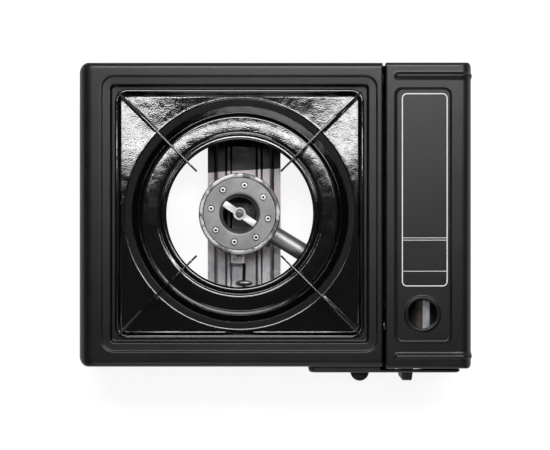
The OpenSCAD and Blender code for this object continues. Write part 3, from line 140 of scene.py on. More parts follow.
card_thickness = 0.0012
around = np.linspace(0, 2 * np.pi, 97)[:-1]
floor_r = np.array([0.0001, 0.4, 1.2, 2.6, 3.0, 3.3, 3.45, 3.5, 3.5])
floor_z = np.array([0, 0, 0, 0, 0.05, 0.2, 0.45, 0.8, 1.7]) - card_thickness
cove = skin("floor", np.stack([np.outer(floor_r, np.cos(around)), np.outer(floor_r, np.sin(around)),
                               np.repeat(floor_z[:, None], len(around), 1)], -1))
floor = bpy.data.objects.new("floor", cove)
cove.materials.append(paper)
cove.polygons.foreach_set("use_smooth", np.ones(len(cove.polygons), bool))
scene.collection.objects.link(floor)

# ---- Hob --------------------------------------------------------------------------------------
# The hob is one sheet of 1 mm steel, drawn and pierced in a press: rolled edges, a hem below, a
# shallow frame round the opening and the ledge that the pan rests on. It is dipped, sprayed with
# satin black paint and baked, which leaves a fine even grain with a soft broad sheen.


def finish(name, **shader):
    """A material with one Principled shader and its constants, its node tree, and Object coordinates."""
    material = bpy.data.materials.new(name)
    material.use_nodes = True
    tree = material.node_tree
    bsdf = tree.nodes["Principled BSDF"]
    for key, value in shader.items():
        bsdf.inputs[key.replace("_", " ")].default_value = value
    return material, tree, bsdf, add(tree, "TexCoord").outputs["Object"]


def grain(tree, where, size, detail=2.0, stretch=(1, 1, 1), roughness=0.5):
    """Noise whose lumps are about size metres across, drawn out along axes whose stretch is under 1."""
    spread = add(tree, "Mapping", {"Scale": stretch}, {"Vector": where})
    noise = add(tree, "TexNoise", {"Scale": 1 / size, "Detail": detail, "Roughness": roughness},
                {"Vector": spread.outputs[0]})
    return noise.outputs["Fac"]


def between(tree, value, low, high, from_low=0.3, from_high=0.7):
    """Value carried from its own range to low..high."""
    limits = {"From Min": from_low, "From Max": from_high, "To Min": low, "To Max": high}
    return add(tree, "MapRange", limits, {"Value": value}).outputs[0]


def blend(tree, value, dark, light):
    """Colour between two sRGB codes."""
    return add(tree, "Mix", {"data_type": "RGBA", 6: linear(dark), 7: linear(light)}, {0: value}).outputs[2]


def raised(tree, bsdf, value, depth, under=None):
    """Bump that lifts the surface by depth metres where value is 1."""
    feeds = {"Height": value}
    if under is not None:
        feeds["Normal"] = under
    bump = add(tree, "Bump", {"Strength": 1.0, "Distance": depth}, feeds)
    tree.links.new(bump.outputs[0], bsdf.inputs["Normal"])
    return bump.outputs[0]


def baked_paint(name, dark, light, rough):
    """Sprayed and baked paint: a grain of 0.55 mm over the film's slow waves, and a slightly patchy tone."""
    material, tree, bsdf, where = finish(name, Roughness=rough, IOR=1.5, Specular_IOR_Level=0.5)
    slow = grain(tree, where, 26 * mm, 3.0)
    fine = grain(tree, where, 0.55 * mm, 2.0)
    tree.links.new(blend(tree, between(tree, slow, 0, 1), dark, light), bsdf.inputs["Base Color"])
    mixed = add(tree, "Math", {"operation": "MULTIPLY_ADD", 1: 0.35}, {0: slow, 2: fine}).outputs[0]
    tree.links.new(between(tree, mixed, rough - 0.05, rough + 0.06, 0.45, 0.9), bsdf.inputs["Roughness"])
    wave = raised(tree, bsdf, grain(tree, where, 5 * mm, 1.0), 0.00001)
    raised(tree, bsdf, fine, 0.000022, wave)
    return material


def ring(low_x, high_x, low_y, high_y, radii, heights, shares, corner_steps=14):
    """Rounded rectangles, one to a row, anticlockwise from the right rear corner. Corner k is an arc of
    radii[k]; the side after it runs straight, cut at shares[k] of its length. A corner's height passes
    from the side before it to the side after it as w = t * t * (3 - 2 * t)."""
    x = np.stack([high_x, low_x, low_x, high_x], 1) + radii * np.array([-1, 1, 1, -1])
    y = np.stack([high_y, high_y, low_y, low_y], 1) + radii * np.array([-1, -1, 1, 1])
    t = np.linspace(0, 1, corner_steps)
    turn = (np.arange(4)[:, None] + t) * np.pi / 2
    w = t * t * (3 - 2 * t)
    before = np.roll(heights, 1, axis=1)[..., None]
    corner = np.stack([x[..., None] + radii[..., None] * np.cos(turn),
                       y[..., None] + radii[..., None] * np.sin(turn),
                       before * (1 - w) + heights[..., None] * w], -1)
    start, end = corner[:, :, -1, None], np.roll(corner[:, :, 0], -1, axis=1)[:, :, None]
    sides = [start[:, k] + (end - start)[:, k] * shares[k][None, :, None] for k in range(4)]
    return np.concatenate([part for k in range(4) for part in (corner[:, k], sides[k])], 1)


def bend(rows, sizes, measure=slice(None), steps=5):
    """Softens each inner row P between A and B to the curve (1 - t)^2 A' + 2 t (1 - t) P + t^2 B', where
    A' and B' lie its size away from P towards A and B."""
    rows = np.asarray(rows, float)
    sizes = np.broadcast_to(np.asarray(sizes, float), (len(rows),))[1:-1]
    back, on = rows[1:-1] - rows[:-2], rows[2:] - rows[1:-1]
    k = [np.minimum(sizes / np.linalg.norm(d[:, measure], axis=1), 0.47)[:, None] for d in (back, on)]
    a, p, b = rows[1:-1] - back * k[0], rows[1:-1], rows[1:-1] + on * k[1]
    t = np.linspace(0, 1, steps)[None, :, None]
    curve = (1 - t) ** 2 * a[:, None] + 2 * t * (1 - t) * p[:, None] + t ** 2 * b[:, None]
    return np.concatenate([rows[:1], curve.reshape(-1, rows.shape[1]), rows[-1:]])


def station(x0, x1, y0, y1, radii, heights):
    """One row for ring(): its four sides, four corner radii and four side heights, in millimetres."""
    return np.concatenate([[x0, x1, y0, y1], np.broadcast_to(radii, 4), np.broadcast_to(heights, 4)])


def pressing(rows, shares, corner_steps=14):
    """Points of ring(), in metres, over a table of station() rows."""
    r = np.asarray(rows) * mm
    return ring(r[:, 0], r[:, 1], r[:, 2], r[:, 3], r[:, 4:8], r[:, 8:12], shares, corner_steps)


def bearings(row, centre):
    """Level unit vectors from a centre, in millimetres, to each point of a row."""
    away = row[:, :2] - centre * mm
    return away / np.linalg.norm(away, axis=1)[:, None]


def circles(centre, directions, line):
    """Level circles about a centre, one row of points to each (r, h) of a line in millimetres, with a
    point in each direction."""
    line = np.asarray(line, float)
    level = centre * mm + directions[None] * line[:, :1, None] * mm
    heights = np.broadcast_to((line[:, 1] * mm)[:, None, None], level.shape[:2] + (1,))
    return np.concatenate([level, heights], 2)


def oblong(x0, x1, y0, y1):
    """Corners of an upright rectangle, anticlockwise."""
    return [[x0, y0], [x1, y0], [x1, y1], [x0, y1]]


def round_outline(x, y, radius, steps=64):
    """Outline of a round hole."""
    t = np.linspace(0, 2 * np.pi, steps + 1)[:-1]
    return np.column_stack([x + radius * np.cos(t), y + radius * np.sin(t)])


def plate(name, outline, low, high, axis="z"):
    """Flat piece: an outline in the plane across an axis, carried along it from low to high."""
    flat = np.asarray(outline, float) * mm
    order = {"x": [2, 0, 1], "y": [0, 2, 1], "z": [0, 1, 2]}[axis]
    ends = [np.column_stack([flat, np.full(len(flat), h * mm)])[:, order] for h in (low, high)]
    n = len(flat)
    i = np.arange(n)
    walls = np.stack([i, (i + 1) % n, (i + 1) % n + n, i + n], 1).tolist()
    mesh = bpy.data.meshes.new(name)
    mesh.from_pydata(np.concatenate(ends).tolist(), [], walls + [list(range(n))[::-1], list(range(n, 2 * n))])
    settle(mesh)
    return mesh


def settle(mesh, weld=2e-6):
    """Merges doubled points, drops faces without area and turns the faces outwards."""
    bm = bmesh.new()
    bm.from_mesh(mesh)
    bmesh.ops.remove_doubles(bm, verts=bm.verts, dist=weld)
    bmesh.ops.dissolve_degenerate(bm, edges=bm.edges, dist=1e-7)
    bmesh.ops.recalc_face_normals(bm, faces=bm.faces)
    bm.to_mesh(mesh)
    bm.free()


def joined(name, *meshes):
    """One mesh of several."""
    bm = bmesh.new()
    for mesh in meshes:
        bm.from_mesh(mesh)
    whole = bpy.data.meshes.new(name)
    bm.to_mesh(whole)
    bm.free()
    return whole


def worked(mesh, kind, **settings):
    """The mesh after a modifier of a kind has been worked into it."""
    holder = bpy.data.objects.new("work", mesh)
    scene.collection.objects.link(holder)
    modifier = holder.modifiers.new(kind.lower(), kind)
    for key, value in settings.items():
        setattr(modifier, key, value)
    bpy.context.view_layer.update()
    result = bpy.data.meshes.new_from_object(holder.evaluated_get(bpy.context.evaluated_depsgraph_get()))
    bpy.data.objects.remove(holder)
    return result


def cut(mesh, tool):
    """The mesh with the space of a closed tool taken out."""
    knife = bpy.data.objects.new("knife", tool)
    scene.collection.objects.link(knife)
    result = worked(mesh, "BOOLEAN", object=knife, operation="DIFFERENCE", solver="EXACT")
    bpy.data.objects.remove(knife)
    return result


def walled(mesh, thickness):
    """The surface as sheet of a thickness in millimetres, which lies behind its faces."""
    return worked(mesh, "SOLIDIFY", thickness=thickness * mm, offset=-1.0)


def eased(mesh, width, segments=2):
    """The mesh with its sharp edges rounded off over a width in millimetres."""
    return worked(mesh, "BEVEL", width=width * mm, segments=segments, limit_method="ANGLE")


def fit(name, mesh, body, slot, material, *nodes, crease=32):
    """Puts a finished piece in the scene, riding on its body, smooth but for edges sharper than crease
    degrees."""
    mesh.materials.clear()
    mesh.materials.append(material)
    mesh.polygons.foreach_set("use_smooth", np.ones(len(mesh.polygons), bool))
    mesh.set_sharp_from_angle(angle=np.radians(crease))
    piece = bpy.data.objects.new(name, mesh)
    scene.collection.objects.link(piece)
    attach(piece, body)
    if nodes:
        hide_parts(*nodes)


def paint(material, *nodes):
    """Gives nodes of the frame their material."""
    for node in nodes:
        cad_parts[node].data.materials.clear()
        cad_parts[node].data.materials.append(material)


def stadium(x, y, width, height, steps=8):
    """Outline of an upright slot: two half circles of radius width / 2 joined by straight sides."""
    r, t = width / 2, np.linspace(0, np.pi, steps)
    top = np.column_stack([x + r * np.cos(t), y + height / 2 - r + r * np.sin(t)])
    return np.concatenate([top, 2 * np.array([x, y]) - top])


hob_left, hob_right, hob_front, hob_rear = -172.5, 94.2, -125.3, 141.5
burner_x, burner_y = -31.2, 8.9
hob_top, hem_z, right_hem_z, hem_lift = 86.0, 8.0, 76.0, 0.8
hob_sides = (hob_left, hob_right, hob_front, hob_rear)

# The four sides' values, here and in the lid, stand in ring()'s order: rear, left, front and right.
rolls = np.array([5.0, 12.0, 5.0, 2.0])
hem_heights = np.array([hem_z, hem_z, hem_z, right_hem_z])
roll_start = hob_top - rolls


def inset(sides, distances, radii, heights):
    """A station set in from a plan's sides (left, right, front, rear) by its own distance at each."""
    left, right, front, rear = sides
    return station(left + distances[1], right - distances[3], front + distances[2], rear - distances[0],
                   radii, heights)


# The rows run from the hem's inner edge out and up the walls, and over the rolled edges to the top.
hob_rows = [inset(hob_sides, [12, 28, 12, 0], [1, 3, 3, 1], hem_heights),
            inset(hob_sides, [1, 1, 1, 0], [1, 8, 8, 1], hem_heights)]
for g in np.linspace(0, 1, 7) ** 0.8:
    up_wall = hem_heights * (1 - g) + roll_start * g + hem_lift * (1 - g)
    hob_rows.append(inset(hob_sides, [0] * 4, [1, 9, 9, 1], up_wall))
for a in np.linspace(0, np.pi / 2, 9)[1:]:
    left_corner = 9 - 5 * (1 - np.cos(a))
    hob_rows.append(inset(hob_sides, rolls * (1 - np.cos(a)), [1, left_corner, left_corner, 1],
                          hob_top - rolls * (1 - np.sin(a))))


def square(side, radius, height):
    """A square station about the burner's axis."""
    half = side / 2
    return station(burner_x - half, burner_x + half, burner_y - half, burner_y + half, radius, height)


# The frame steps down to the ledge in squares, each given by its side, corner radius and height.
frame_z, ledge_z = 84.75, 79.5
frame_rows = [hob_rows[-1]] + [square(*row) for row in (
    (241.6, 11.2, hob_top), (239.6, 10.4, frame_z), (226.6, 4, frame_z), (225.3, 3.2, 83.6),
    (225, 3.2, 80.4), (223.6, 3.2, ledge_z), (214, 8, ledge_z), (213.6, 8, 77.8))]
frame_rows = bend(frame_rows, [0, 0.7, 0.7, 0.8, 0.6, 0.5, 0.6, 0.4, 0], measure=[0, 9])
flat = np.linspace(0, 1, 6)[1:-1, None]
hob_rows = np.concatenate([hob_rows, frame_rows[0] * (1 - flat) + frame_rows[1] * flat, frame_rows[1:]])
hob_sheet = walled(skin("hob", pressing(hob_rows, [np.linspace(0, 1, 42)[1:-1]] * 4)), 1.0)

# Nine vents across the rear and nine along the left, the lever's slot and the hole for the knob's well.
vent_pitch, vent_z, vent_w, vent_h = 20, 60, 6, 20
lever_x, lever_z, slot_h = 76.3, 42, 24
knob_x, knob_z, well_hole_r = 117.7, 45.0, 27.2
vents = []
for middle, low, high, axis in ((burner_x, 136, 146, "y"), (burner_y, -177, -167, "x")):
    for k in range(-4, 5):
        vents.append(plate("vent", stadium(middle + vent_pitch * k, vent_z, vent_w, vent_h), low, high, axis))
vents.append(plate("slot", stadium(lever_x, lever_z, 4.4, slot_h), -128, -120, "y"))
hob_sheet = cut(hob_sheet, joined("vents", *vents))
well_hole = plate("well_hole", round_outline(knob_x, knob_z, well_hole_r), -128, -115.6, "y")
hob_sheet = cut(hob_sheet, well_hole)
hob_paint = baked_paint("satin_black_baked_paint", "0a0a0b", "101011", 0.35)
fit("hob_pressing", hob_sheet, "stove", "black_painted_steel", hob_paint, "body_shell")

# The burner space is closed at the right by an upright sheet, and the bay's tray is folded from
# the same stock; both take the hob's paint, thinner and duller inside.
inner_paint = baked_paint("thin_black_paint", "121213", "171718", 0.55)
paint(inner_paint, "partition_plate", "compartment_tray")

# ---- Cartridge lid ----------------------------------------------------------------------------
# The lid over the cartridge is drawn from thin sheet: a sunk field, a bead across each end that
# runs over the rounded right edge, and a viewing hole with a beaded rim. It has the hob's paint.
lid_left, lid_right, lid_front, lid_rear = 96.5, 172.5, -126.8, 141.5
lid_sides = (lid_left, lid_right, lid_front, lid_rear)
lid_rolls = np.array([3.5, 2.0, 3.5, 10.0])
view_centre = np.array([129.1, -78.8])
view_r, field_depth, lid_drop = 12.6, 2.0, 34.0
lid_rows = [inset(lid_sides, [0] * 4, [5, 1.5, 1.5, 5], lid_drop + (hob_top - lid_rolls - lid_drop) * g)
            for g in np.linspace(0, 1, 12)]
lid_rows += [inset(lid_sides, lid_rolls * (1 - np.cos(a)), [5 - 3 * a, 1.5, 1.5, 5 - 3 * a],
                   hob_top - lid_rolls * (1 - np.sin(a))) for a in np.linspace(0, np.pi / 2, 15)[1:]]
field = station(103.9, 154.6, -105, 119.6, 7.0, hob_top)
flat = np.linspace(0, 1, 28)[1:-1, None]
lid_rows = np.concatenate([lid_rows, lid_rows[-1] * (1 - flat) + field * flat])
slope = bend([field, station(106.9, 153.0, -102.6, 118.0, 5.0, hob_top - field_depth),
              station(108.4, 151.8, -101.4, 116.8, 4.4, hob_top - field_depth)], 0.9, measure=[0, 9])
lid_rows = np.concatenate([lid_rows, slope])

# Points stand closest at the ends of the long sides, where the beads run, and then beside the hole.
near = np.linspace(0, 0.075, 24)
long_side = np.concatenate([near[1:], np.linspace(0.075, 0.5, 9)[1:], np.linspace(0.5, 0.925, 26)[1:-1],
                            1 - near[::-1][:-1]])
short_side = np.concatenate([np.linspace(0, 0.16, 10)[1:], np.linspace(0.16, 1, 26)[1:-1]])
shares = [1 - short_side[::-1], long_side, short_side, 1 - long_side[::-1]]
lid_grid = pressing(lid_rows, shares, 10)

# The last row turns to circles about the viewing hole; heights here are counted from the hob's top.
hole_line = bend([[17.5, -field_depth], [16.0, -field_depth], [15.0, -0.8], [13.6, -0.8], [view_r, -1.8],
                  [view_r, -2.9]], [0, 0.9, 0.8, 0.7, 0.7, 0])
hole = circles(view_centre, bearings(lid_grid[-1], view_centre), hole_line + np.array([0, hob_top]))
lid_grid = np.concatenate([lid_grid, hole])

# Beads: the sheet is pushed out by rise * cos^2 across a bead, in the direction in which it faces.
# They start at bead_start in X, in a rounded end, and fade out down the right side, over bead_fade
# above bead_low.
bead_rise, bead_half, bead_start, bead_low, bead_fade = 2.1, 3.7, 107, 52, 14
roll_x, roll_z = lid_right - lid_rolls[3], hob_top - lid_rolls[3]
out = np.stack([np.maximum(lid_grid[..., 0] / mm - roll_x, 0), np.zeros(lid_grid.shape[:2]),
                np.maximum(lid_grid[..., 2] / mm - roll_z, 0.001)], -1)
out = out / np.linalg.norm(out, axis=-1)[..., None]
before_start = np.maximum(bead_start - lid_grid[..., 0] / mm, 0)
fade = np.clip((lid_grid[..., 2] / mm - bead_low) / bead_fade, 0, 1)
for bead_y in (129.7, -115.8):
    away = np.hypot(lid_grid[..., 1] / mm - bead_y, before_start * 1.1)
    push = bead_rise * np.cos(np.clip(away / bead_half, 0, 1) * np.pi / 2) ** 2 * fade * fade * (3 - 2 * fade)
    push = push * (lid_grid[..., 0] > 100 * mm)
    lid_grid = lid_grid + out * push[..., None] * mm
lid_grid[..., 0] = np.minimum(lid_grid[..., 0], lid_right * mm)
lid_sheet = walled(skin("lid", lid_grid), 0.95)

# The front, rear and left walls end just under the top; the right wall hangs down to lid_drop.
arc = np.linspace(0, np.pi / 2, 7)
side_cut = [[90, 30], [163.8, 30]]
side_cut += [[161.8 + 2 * np.cos(a), 71 + 2 * np.sin(a)] for a in arc]
side_cut += [[99.6 + np.sin(a), 74 - np.cos(a)] for a in arc[::-1]]
side_cut += [[98.6, 81], [90, 81]]
lid_sheet = cut(lid_sheet, plate("side_cut", side_cut, -135, 150, "y"))
fit("lid_pressing", lid_sheet, "lid", "black_painted_steel", hob_paint, "cartridge_lid")


def strip(points, width, height, closed=True):
    """Flat printed line of a width along points in a level plane: left and right edges at
    P +- N * width / 2, where N is square to the line."""
    points = np.asarray(points, float)
    after, before = np.roll(points, -1, 0), np.roll(points, 1, 0)
    if not closed:
        after[-1], before[0] = points[-1], points[0]
    along = after - before
    along = along / np.linalg.norm(along, axis=1)[:, None]
    square_to = np.column_stack([-along[:, 1], along[:, 0]]) * width / 2
    grid = np.stack([points - square_to, points + square_to])
    return skin("line", np.concatenate([grid, np.full(grid.shape[:2] + (1,), height)], -1) * mm, closed)


# A plain printed frame with three rules marks the place of the user's label.
label_left, label_right, label_front, label_rear = 111.4, 150.6, -54.3, 114.0
label_row = station(label_left, label_right, label_front, label_rear, 4, 0)
label = pressing([label_row], [np.array([0.5])] * 4, 8)[0, :, :2] / mm
frame_w, rule_w, ink_z = 0.9, 0.5, hob_top - field_depth + 0.05
rules = [strip([[label_left + 0.4, y], [label_right - 0.4, y]], rule_w, ink_z, False)
         for y in (-12.2, -14.2, -41.4)]
ink, tree, bsdf, where = finish("white_printed_ink", Roughness=0.45)
patchy = between(tree, grain(tree, where, 0.4 * mm), 0, 1)
tree.links.new(blend(tree, patchy, "dededc", "f6f6f4"), bsdf.inputs["Base Color"])
fit("label_frame", joined("label", strip(label, frame_w, ink_z), *rules), "lid", None, ink)

# ---- Drip pan ---------------------------------------------------------------------------------
# The pan is pressed from 0.8 mm steel and dipped in gloss black vitreous enamel, which flows a
# little before it sets: mirror-bright, with the shallow waves of an orange's peel.
pan_half, rim_z, rim_r, rim_corner = 109.5, 80.5, 1.75, 11.5
tub_half, tub_edge_z, pan_floor, trough_z, bowl_r = 105.4, 79.4, 77.0, 67.0, 104.6

# The rolled rim and the wall within it, as rows of half side, height and corner radius.
rim_line = [[pan_half - rim_r + rim_r * np.cos(a), rim_z + rim_r * np.sin(a),
             rim_corner - rim_r + rim_r * np.cos(a)] for a in np.linspace(-0.7, np.pi, 16)]
wall_line = bend([[106.0, 80.2, 8], [tub_half, tub_edge_z, 7.2], [tub_half - 0.6, pan_floor + 0.1, 6.4],
                  [tub_half - 2.6, pan_floor, 5.4]], [0, 0.7, 1.7, 0], measure=[0, 1])
pan_rows = [station(burner_x - h, burner_x + h, burner_y - h, burner_y + h, r, z)
            for h, z, r in np.concatenate([rim_line, wall_line])]

# Along each side the points stand at even angles about the burner, up to fan_reach degrees each way,
# so that the floor's rows can turn from a square to the bowl's circle.
fan_reach = 43
fan = np.radians(np.linspace(-fan_reach, fan_reach, 62)[1:-1])
by_angle = [(1 + np.tan(fan) / np.tan(np.radians(fan_reach))) / 2] * 4
pan_grid = pressing(pan_rows, by_angle, 12)
burner = np.array([burner_x, burner_y])
bearing = bearings(pan_grid[-1], burner)
share = np.linspace(0, 1, 12)[:-1, None, None]
ground = pan_grid[-1:, :, :2] * (1 - share) + (burner * mm + bearing * bowl_r * mm) * share
ground = np.concatenate([ground, np.full(ground.shape[:2] + (1,), pan_floor * mm)], 2)
pan_grid = np.concatenate([pan_grid[:-1], ground])

# The floor rises towards its corners by corner_rise * s^2, where s is the distance out from the bowl
# over rise_span; the rise fades out up the wall.
corner_rise, rise_span = 2.0, 60
from_burner = np.linalg.norm(pan_grid[..., :2] - burner * mm, axis=-1) / mm
out_of_bowl = np.clip(from_burner - bowl_r, 0, None) / rise_span
below_edge = np.clip((tub_edge_z - pan_grid[..., 2] / mm) / (tub_edge_z - pan_floor), 0, 1)
pan_grid[..., 2] += corner_rise * mm * out_of_bowl ** 2 * below_edge

# The bowl falls to a trough, climbs to a broad crest and ends in a rolled lip round the burner.
bowl_line = bend([[bowl_r, pan_floor], [101.6, pan_floor], [90.0, trough_z + 0.2],
                  [86.2, trough_z + 8.9], [73.0, trough_z + 8.6], [70.6, trough_z + 7.4],
                  [69.0, trough_z + 10.0]], [0, 0.9, 0.9, 1.8, 0.8, 0.6, 0], steps=9)
lip_ring_r, lip_z, lip_r = 67.3, 74.6, 2.6
lip = [[lip_ring_r + lip_r * np.cos(a), lip_z + lip_r * np.sin(a)] for a in np.linspace(1.2, 4.3, 22)]
bowl = circles(burner, bearing, np.concatenate([bowl_line, lip]))
pan_sheet = walled(skin("pan", np.concatenate([pan_grid, bowl])), 0.8)


def enamel(name, wave):
    """Vitreous enamel: flow waves about 9 mm long under a finer ripple, and a gloss that varies slightly."""
    material, tree, bsdf, where = finish(name, Roughness=0.07, IOR=1.6, Specular_IOR_Level=0.95)
    tree.links.new(blend(tree, grain(tree, where, 18 * mm), "030303", "070708"), bsdf.inputs["Base Color"])
    tree.links.new(between(tree, grain(tree, where, 9 * mm, 3.0), 0.05, 0.11), bsdf.inputs["Roughness"])
    flow = raised(tree, bsdf, grain(tree, where, 9 * mm, 1.5, roughness=0.4), wave * mm)
    raised(tree, bsdf, grain(tree, where, 1.2 * mm, 1.5), wave * 0.3 * mm, flow)
    return material


pan_enamel = enamel("gloss_black_enamel", 0.1)
fit("drip_pan_pressing", pan_sheet, "pan", "black_enamel", pan_enamel, "drip_pan", crease=50)

# ---- Pot supports -----------------------------------------------------------------------------
# Four blades stamped from 1.6 mm steel, welded by their flat feet to the pan's corners and
# enamelled with it, so that the enamel rounds every edge.
foot_r, foot_inner, support_t, support_top, tip_r = 144.0, 103.4, 1.6, 112.0, 51.2
blade = [[foot_inner, pan_floor], [foot_r, pan_floor], [foot_r, frame_z - 2], [foot_r + 7, frame_z - 2],
         [foot_r + 7, frame_z], [foot_r - 26.8, support_top], [tip_r + 5, support_top],
         [tip_r, support_top - 6], [tip_r, support_top - 12], [tip_r + 6, support_top - 13],
         [tip_r + 28, support_top - 18], [foot_inner - 10.2, support_top - 25]]
foot_half, foot_t = 2.5, 1.5


def rounded(corners, radius, steps=5):
    """Outline with each corner softened by the curve (1 - t)^2 A + 2 t (1 - t) P + t^2 B."""
    loop = np.asarray(corners, float)
    loop = np.concatenate([loop[-1:], loop, loop[:1]])
    return bend(loop, radius, steps=steps)[1:-1]


def placed(mesh, x, y, z=0, turn_deg=0):
    """The mesh turned about the vertical and moved, in millimetres."""
    turn = Matrix.Rotation(np.radians(turn_deg), 4, "Z")
    mesh.transform(Matrix.Translation((x * mm, y * mm, z * mm)) @ turn)
    return mesh


enamel_coat = enamel("gloss_black_enamel_on_blades", 0.12)
window = rounded(oblong(98, 122, 92.6, 101.4), 4.2, 8)
foot_line = rounded(oblong(foot_inner, foot_r, -foot_half, foot_half), 1.2)
corner_turn = 45.0
for name, turn_deg in (("rear_left", 180 - corner_turn), ("rear_right", corner_turn),
                       ("front_left", 180 + corner_turn), ("front_right", -corner_turn)):
    sheet = plate("blade", rounded(blade, 1.4), -support_t / 2, support_t / 2, "y")
    sheet = eased(cut(sheet, plate("window", window, -3, 3, "y")), 0.35)
    foot = eased(plate("foot", foot_line, pan_floor, pan_floor + foot_t), 0.5, 3)
    support = placed(joined("support", sheet, foot), burner_x, burner_y, 0, turn_deg)
    fit("support_" + name, support, "pan", "black_enamel", enamel_coat, "pan_support_" + name)

# ---- Burner -----------------------------------------------------------------------------------
# The bowl, its cap and the mixing tube are die-cast aluminium with a matt skin that breaks up every
# reflection; the flame ring round the cap is turned, so it shows fine rings, in patches of two tones.


def lathe(name, line, x=0, y=0, z=0, axis="z", steps=120):
    """Surface of a closed line of (r, h) turned about an axis: (r cos t, r sin t, h). About y, h counts
    towards the front."""
    line = np.asarray(line, float)
    line = np.concatenate([line, line[:1]])
    t = np.linspace(0, 2 * np.pi, steps + 1)[:-1]
    grid = np.stack([line[:, :1] * np.cos(t), line[:, :1] * np.sin(t),
                     np.repeat(line[:, 1:], steps, 1)], -1)
    order, sign = {"x": ([2, 0, 1], 1), "y": ([0, 2, 1], -1), "z": ([0, 1, 2], 1)}[axis]
    grid = grid[..., order] * np.array([1, sign, 1]) + np.array([x, y, z])
    mesh = skin(name, grid * mm)
    settle(mesh)
    return mesh


def metal(name, dark, light, rough, size, depth, stretch=(1, 1, 1)):
    """Bare metal: sheen and relief follow one grain of the given size in millimetres, and the tone
    drifts slowly."""
    material, tree, bsdf, where = finish(name, Metallic=1.0)
    lumps = grain(tree, where, size * mm, 4.0, stretch)
    slow = grain(tree, where, 17 * mm, 3.0)
    tree.links.new(blend(tree, between(tree, slow, 0, 1), dark, light), bsdf.inputs["Base Color"])
    tree.links.new(between(tree, lumps, rough - 0.07, rough + 0.07), bsdf.inputs["Roughness"])
    raised(tree, bsdf, lumps, depth * mm)
    return material


blasted = metal("blasted_cast_aluminium", "8b898a", "a3a1a2", 0.6, 0.5, 0.06)
tube_cast = metal("smooth_cast_aluminium", "929293", "adadae", 0.5, 0.7, 0.07)
cap_hole, cap_r, ring_r, bowl_top, cap_top = 17.0, 31.75, 35.8, 80.0, 84.0
cap_line = bend([[24, bowl_top], [cap_r, bowl_top], [cap_r, cap_top], [cap_hole, cap_top],
                 [cap_hole, bowl_top], [24, bowl_top]], [0, 0.2, 0.4, 2.2, 0.2, 0], steps=8)[:-1]

# Turned studs stand in round seats sunk into the cap.
stud_circle, stud_start, stud_count = 25.3, 79.8, 8
stud_turns = np.radians(stud_start + 360 / stud_count * np.arange(stud_count))
stud_places = np.column_stack([burner_x + stud_circle * np.cos(stud_turns),
                               burner_y + stud_circle * np.sin(stud_turns)])
seat_line = [[0, bowl_top - 1], [1.2, bowl_top - 1], [1.2, cap_top - 1.8], [3.2, cap_top - 1.8],
             [3.4, cap_top + 1], [0, cap_top + 1]]
cap = cut(lathe("cap", cap_line, burner_x, burner_y),
          joined("seats", *[lathe("seat", seat_line, x, y, steps=32) for x, y in stud_places]))
fit("burner_cap_casting", cap, "stove", "cast_aluminium", blasted, "burner_cap")
turned = metal("turned_aluminium", "d9d9d8", "e8e8e6", 0.42, 0.18, 0.008)
stud_line = bend([[1.6, 81.2], [2.4, 81.2], [2.3, cap_top + 1], [1.1, cap_top + 1], [1.1, 81.2], [1.6, 81.2]],
                 [0, 0, 0.3, 0.12, 0, 0])[:-1]
studs = [lathe("stud", stud_line, x, y, steps=32) for x, y in stud_places]
fit("burner_studs", joined("studs", *studs), "stove", "machined_aluminium", turned)

# The flame ring is pierced by a row of slots.
flame_line = bend([[34, bowl_top], [ring_r, bowl_top], [ring_r, cap_top - 1], [ring_r - 0.7, cap_top - 0.3],
                   [cap_r + 0.5, cap_top - 0.3], [cap_r + 0.3, cap_top - 0.7], [cap_r + 0.3, bowl_top],
                   [34, bowl_top]], [0, 0.2, 0.3, 0.3, 0.2, 0.2, 0.2, 0])[:-1]
port_count = 40
ports = [placed(plate("slot", oblong(32.6, 37, -0.45, 0.45), 80.8, 82.5), burner_x, burner_y, 0, a)
         for a in 360 / port_count * np.arange(port_count)]
flame_ring = cut(lathe("ring", flame_line, burner_x, burner_y, steps=160), joined("slots", *ports))
material, tree, bsdf, where = finish("lathe_turned_ring", Metallic=1.0, Roughness=0.3)
centred = add(tree, "Mapping", {"Location": (-burner_x * mm, -burner_y * mm, 0)},
              {"Vector": where}).outputs[0]
marks = add(tree, "TexWave", {"wave_type": "RINGS", "rings_direction": "Z", "Scale": 1600.0,
                              "Distortion": 0.6, "Detail": 2.0}, {"Vector": centred}).outputs["Fac"]
patches = between(tree, grain(tree, where, 11 * mm, 2.0), 0, 1, 0.42, 0.6)
shade = add(tree, "Math", {"operation": "MULTIPLY_ADD", 1: 0.2}, {0: marks, 2: patches}).outputs[0]
tree.links.new(blend(tree, shade, "545256", "c2c2c0"), bsdf.inputs["Base Color"])
tree.links.new(between(tree, grain(tree, where, 6 * mm, 2.0), 0.3, 0.42), bsdf.inputs["Roughness"])
raised(tree, bsdf, marks, 0.000004)
fit("flame_ring", flame_ring, "stove", "machined_aluminium", material, "burner_ring")

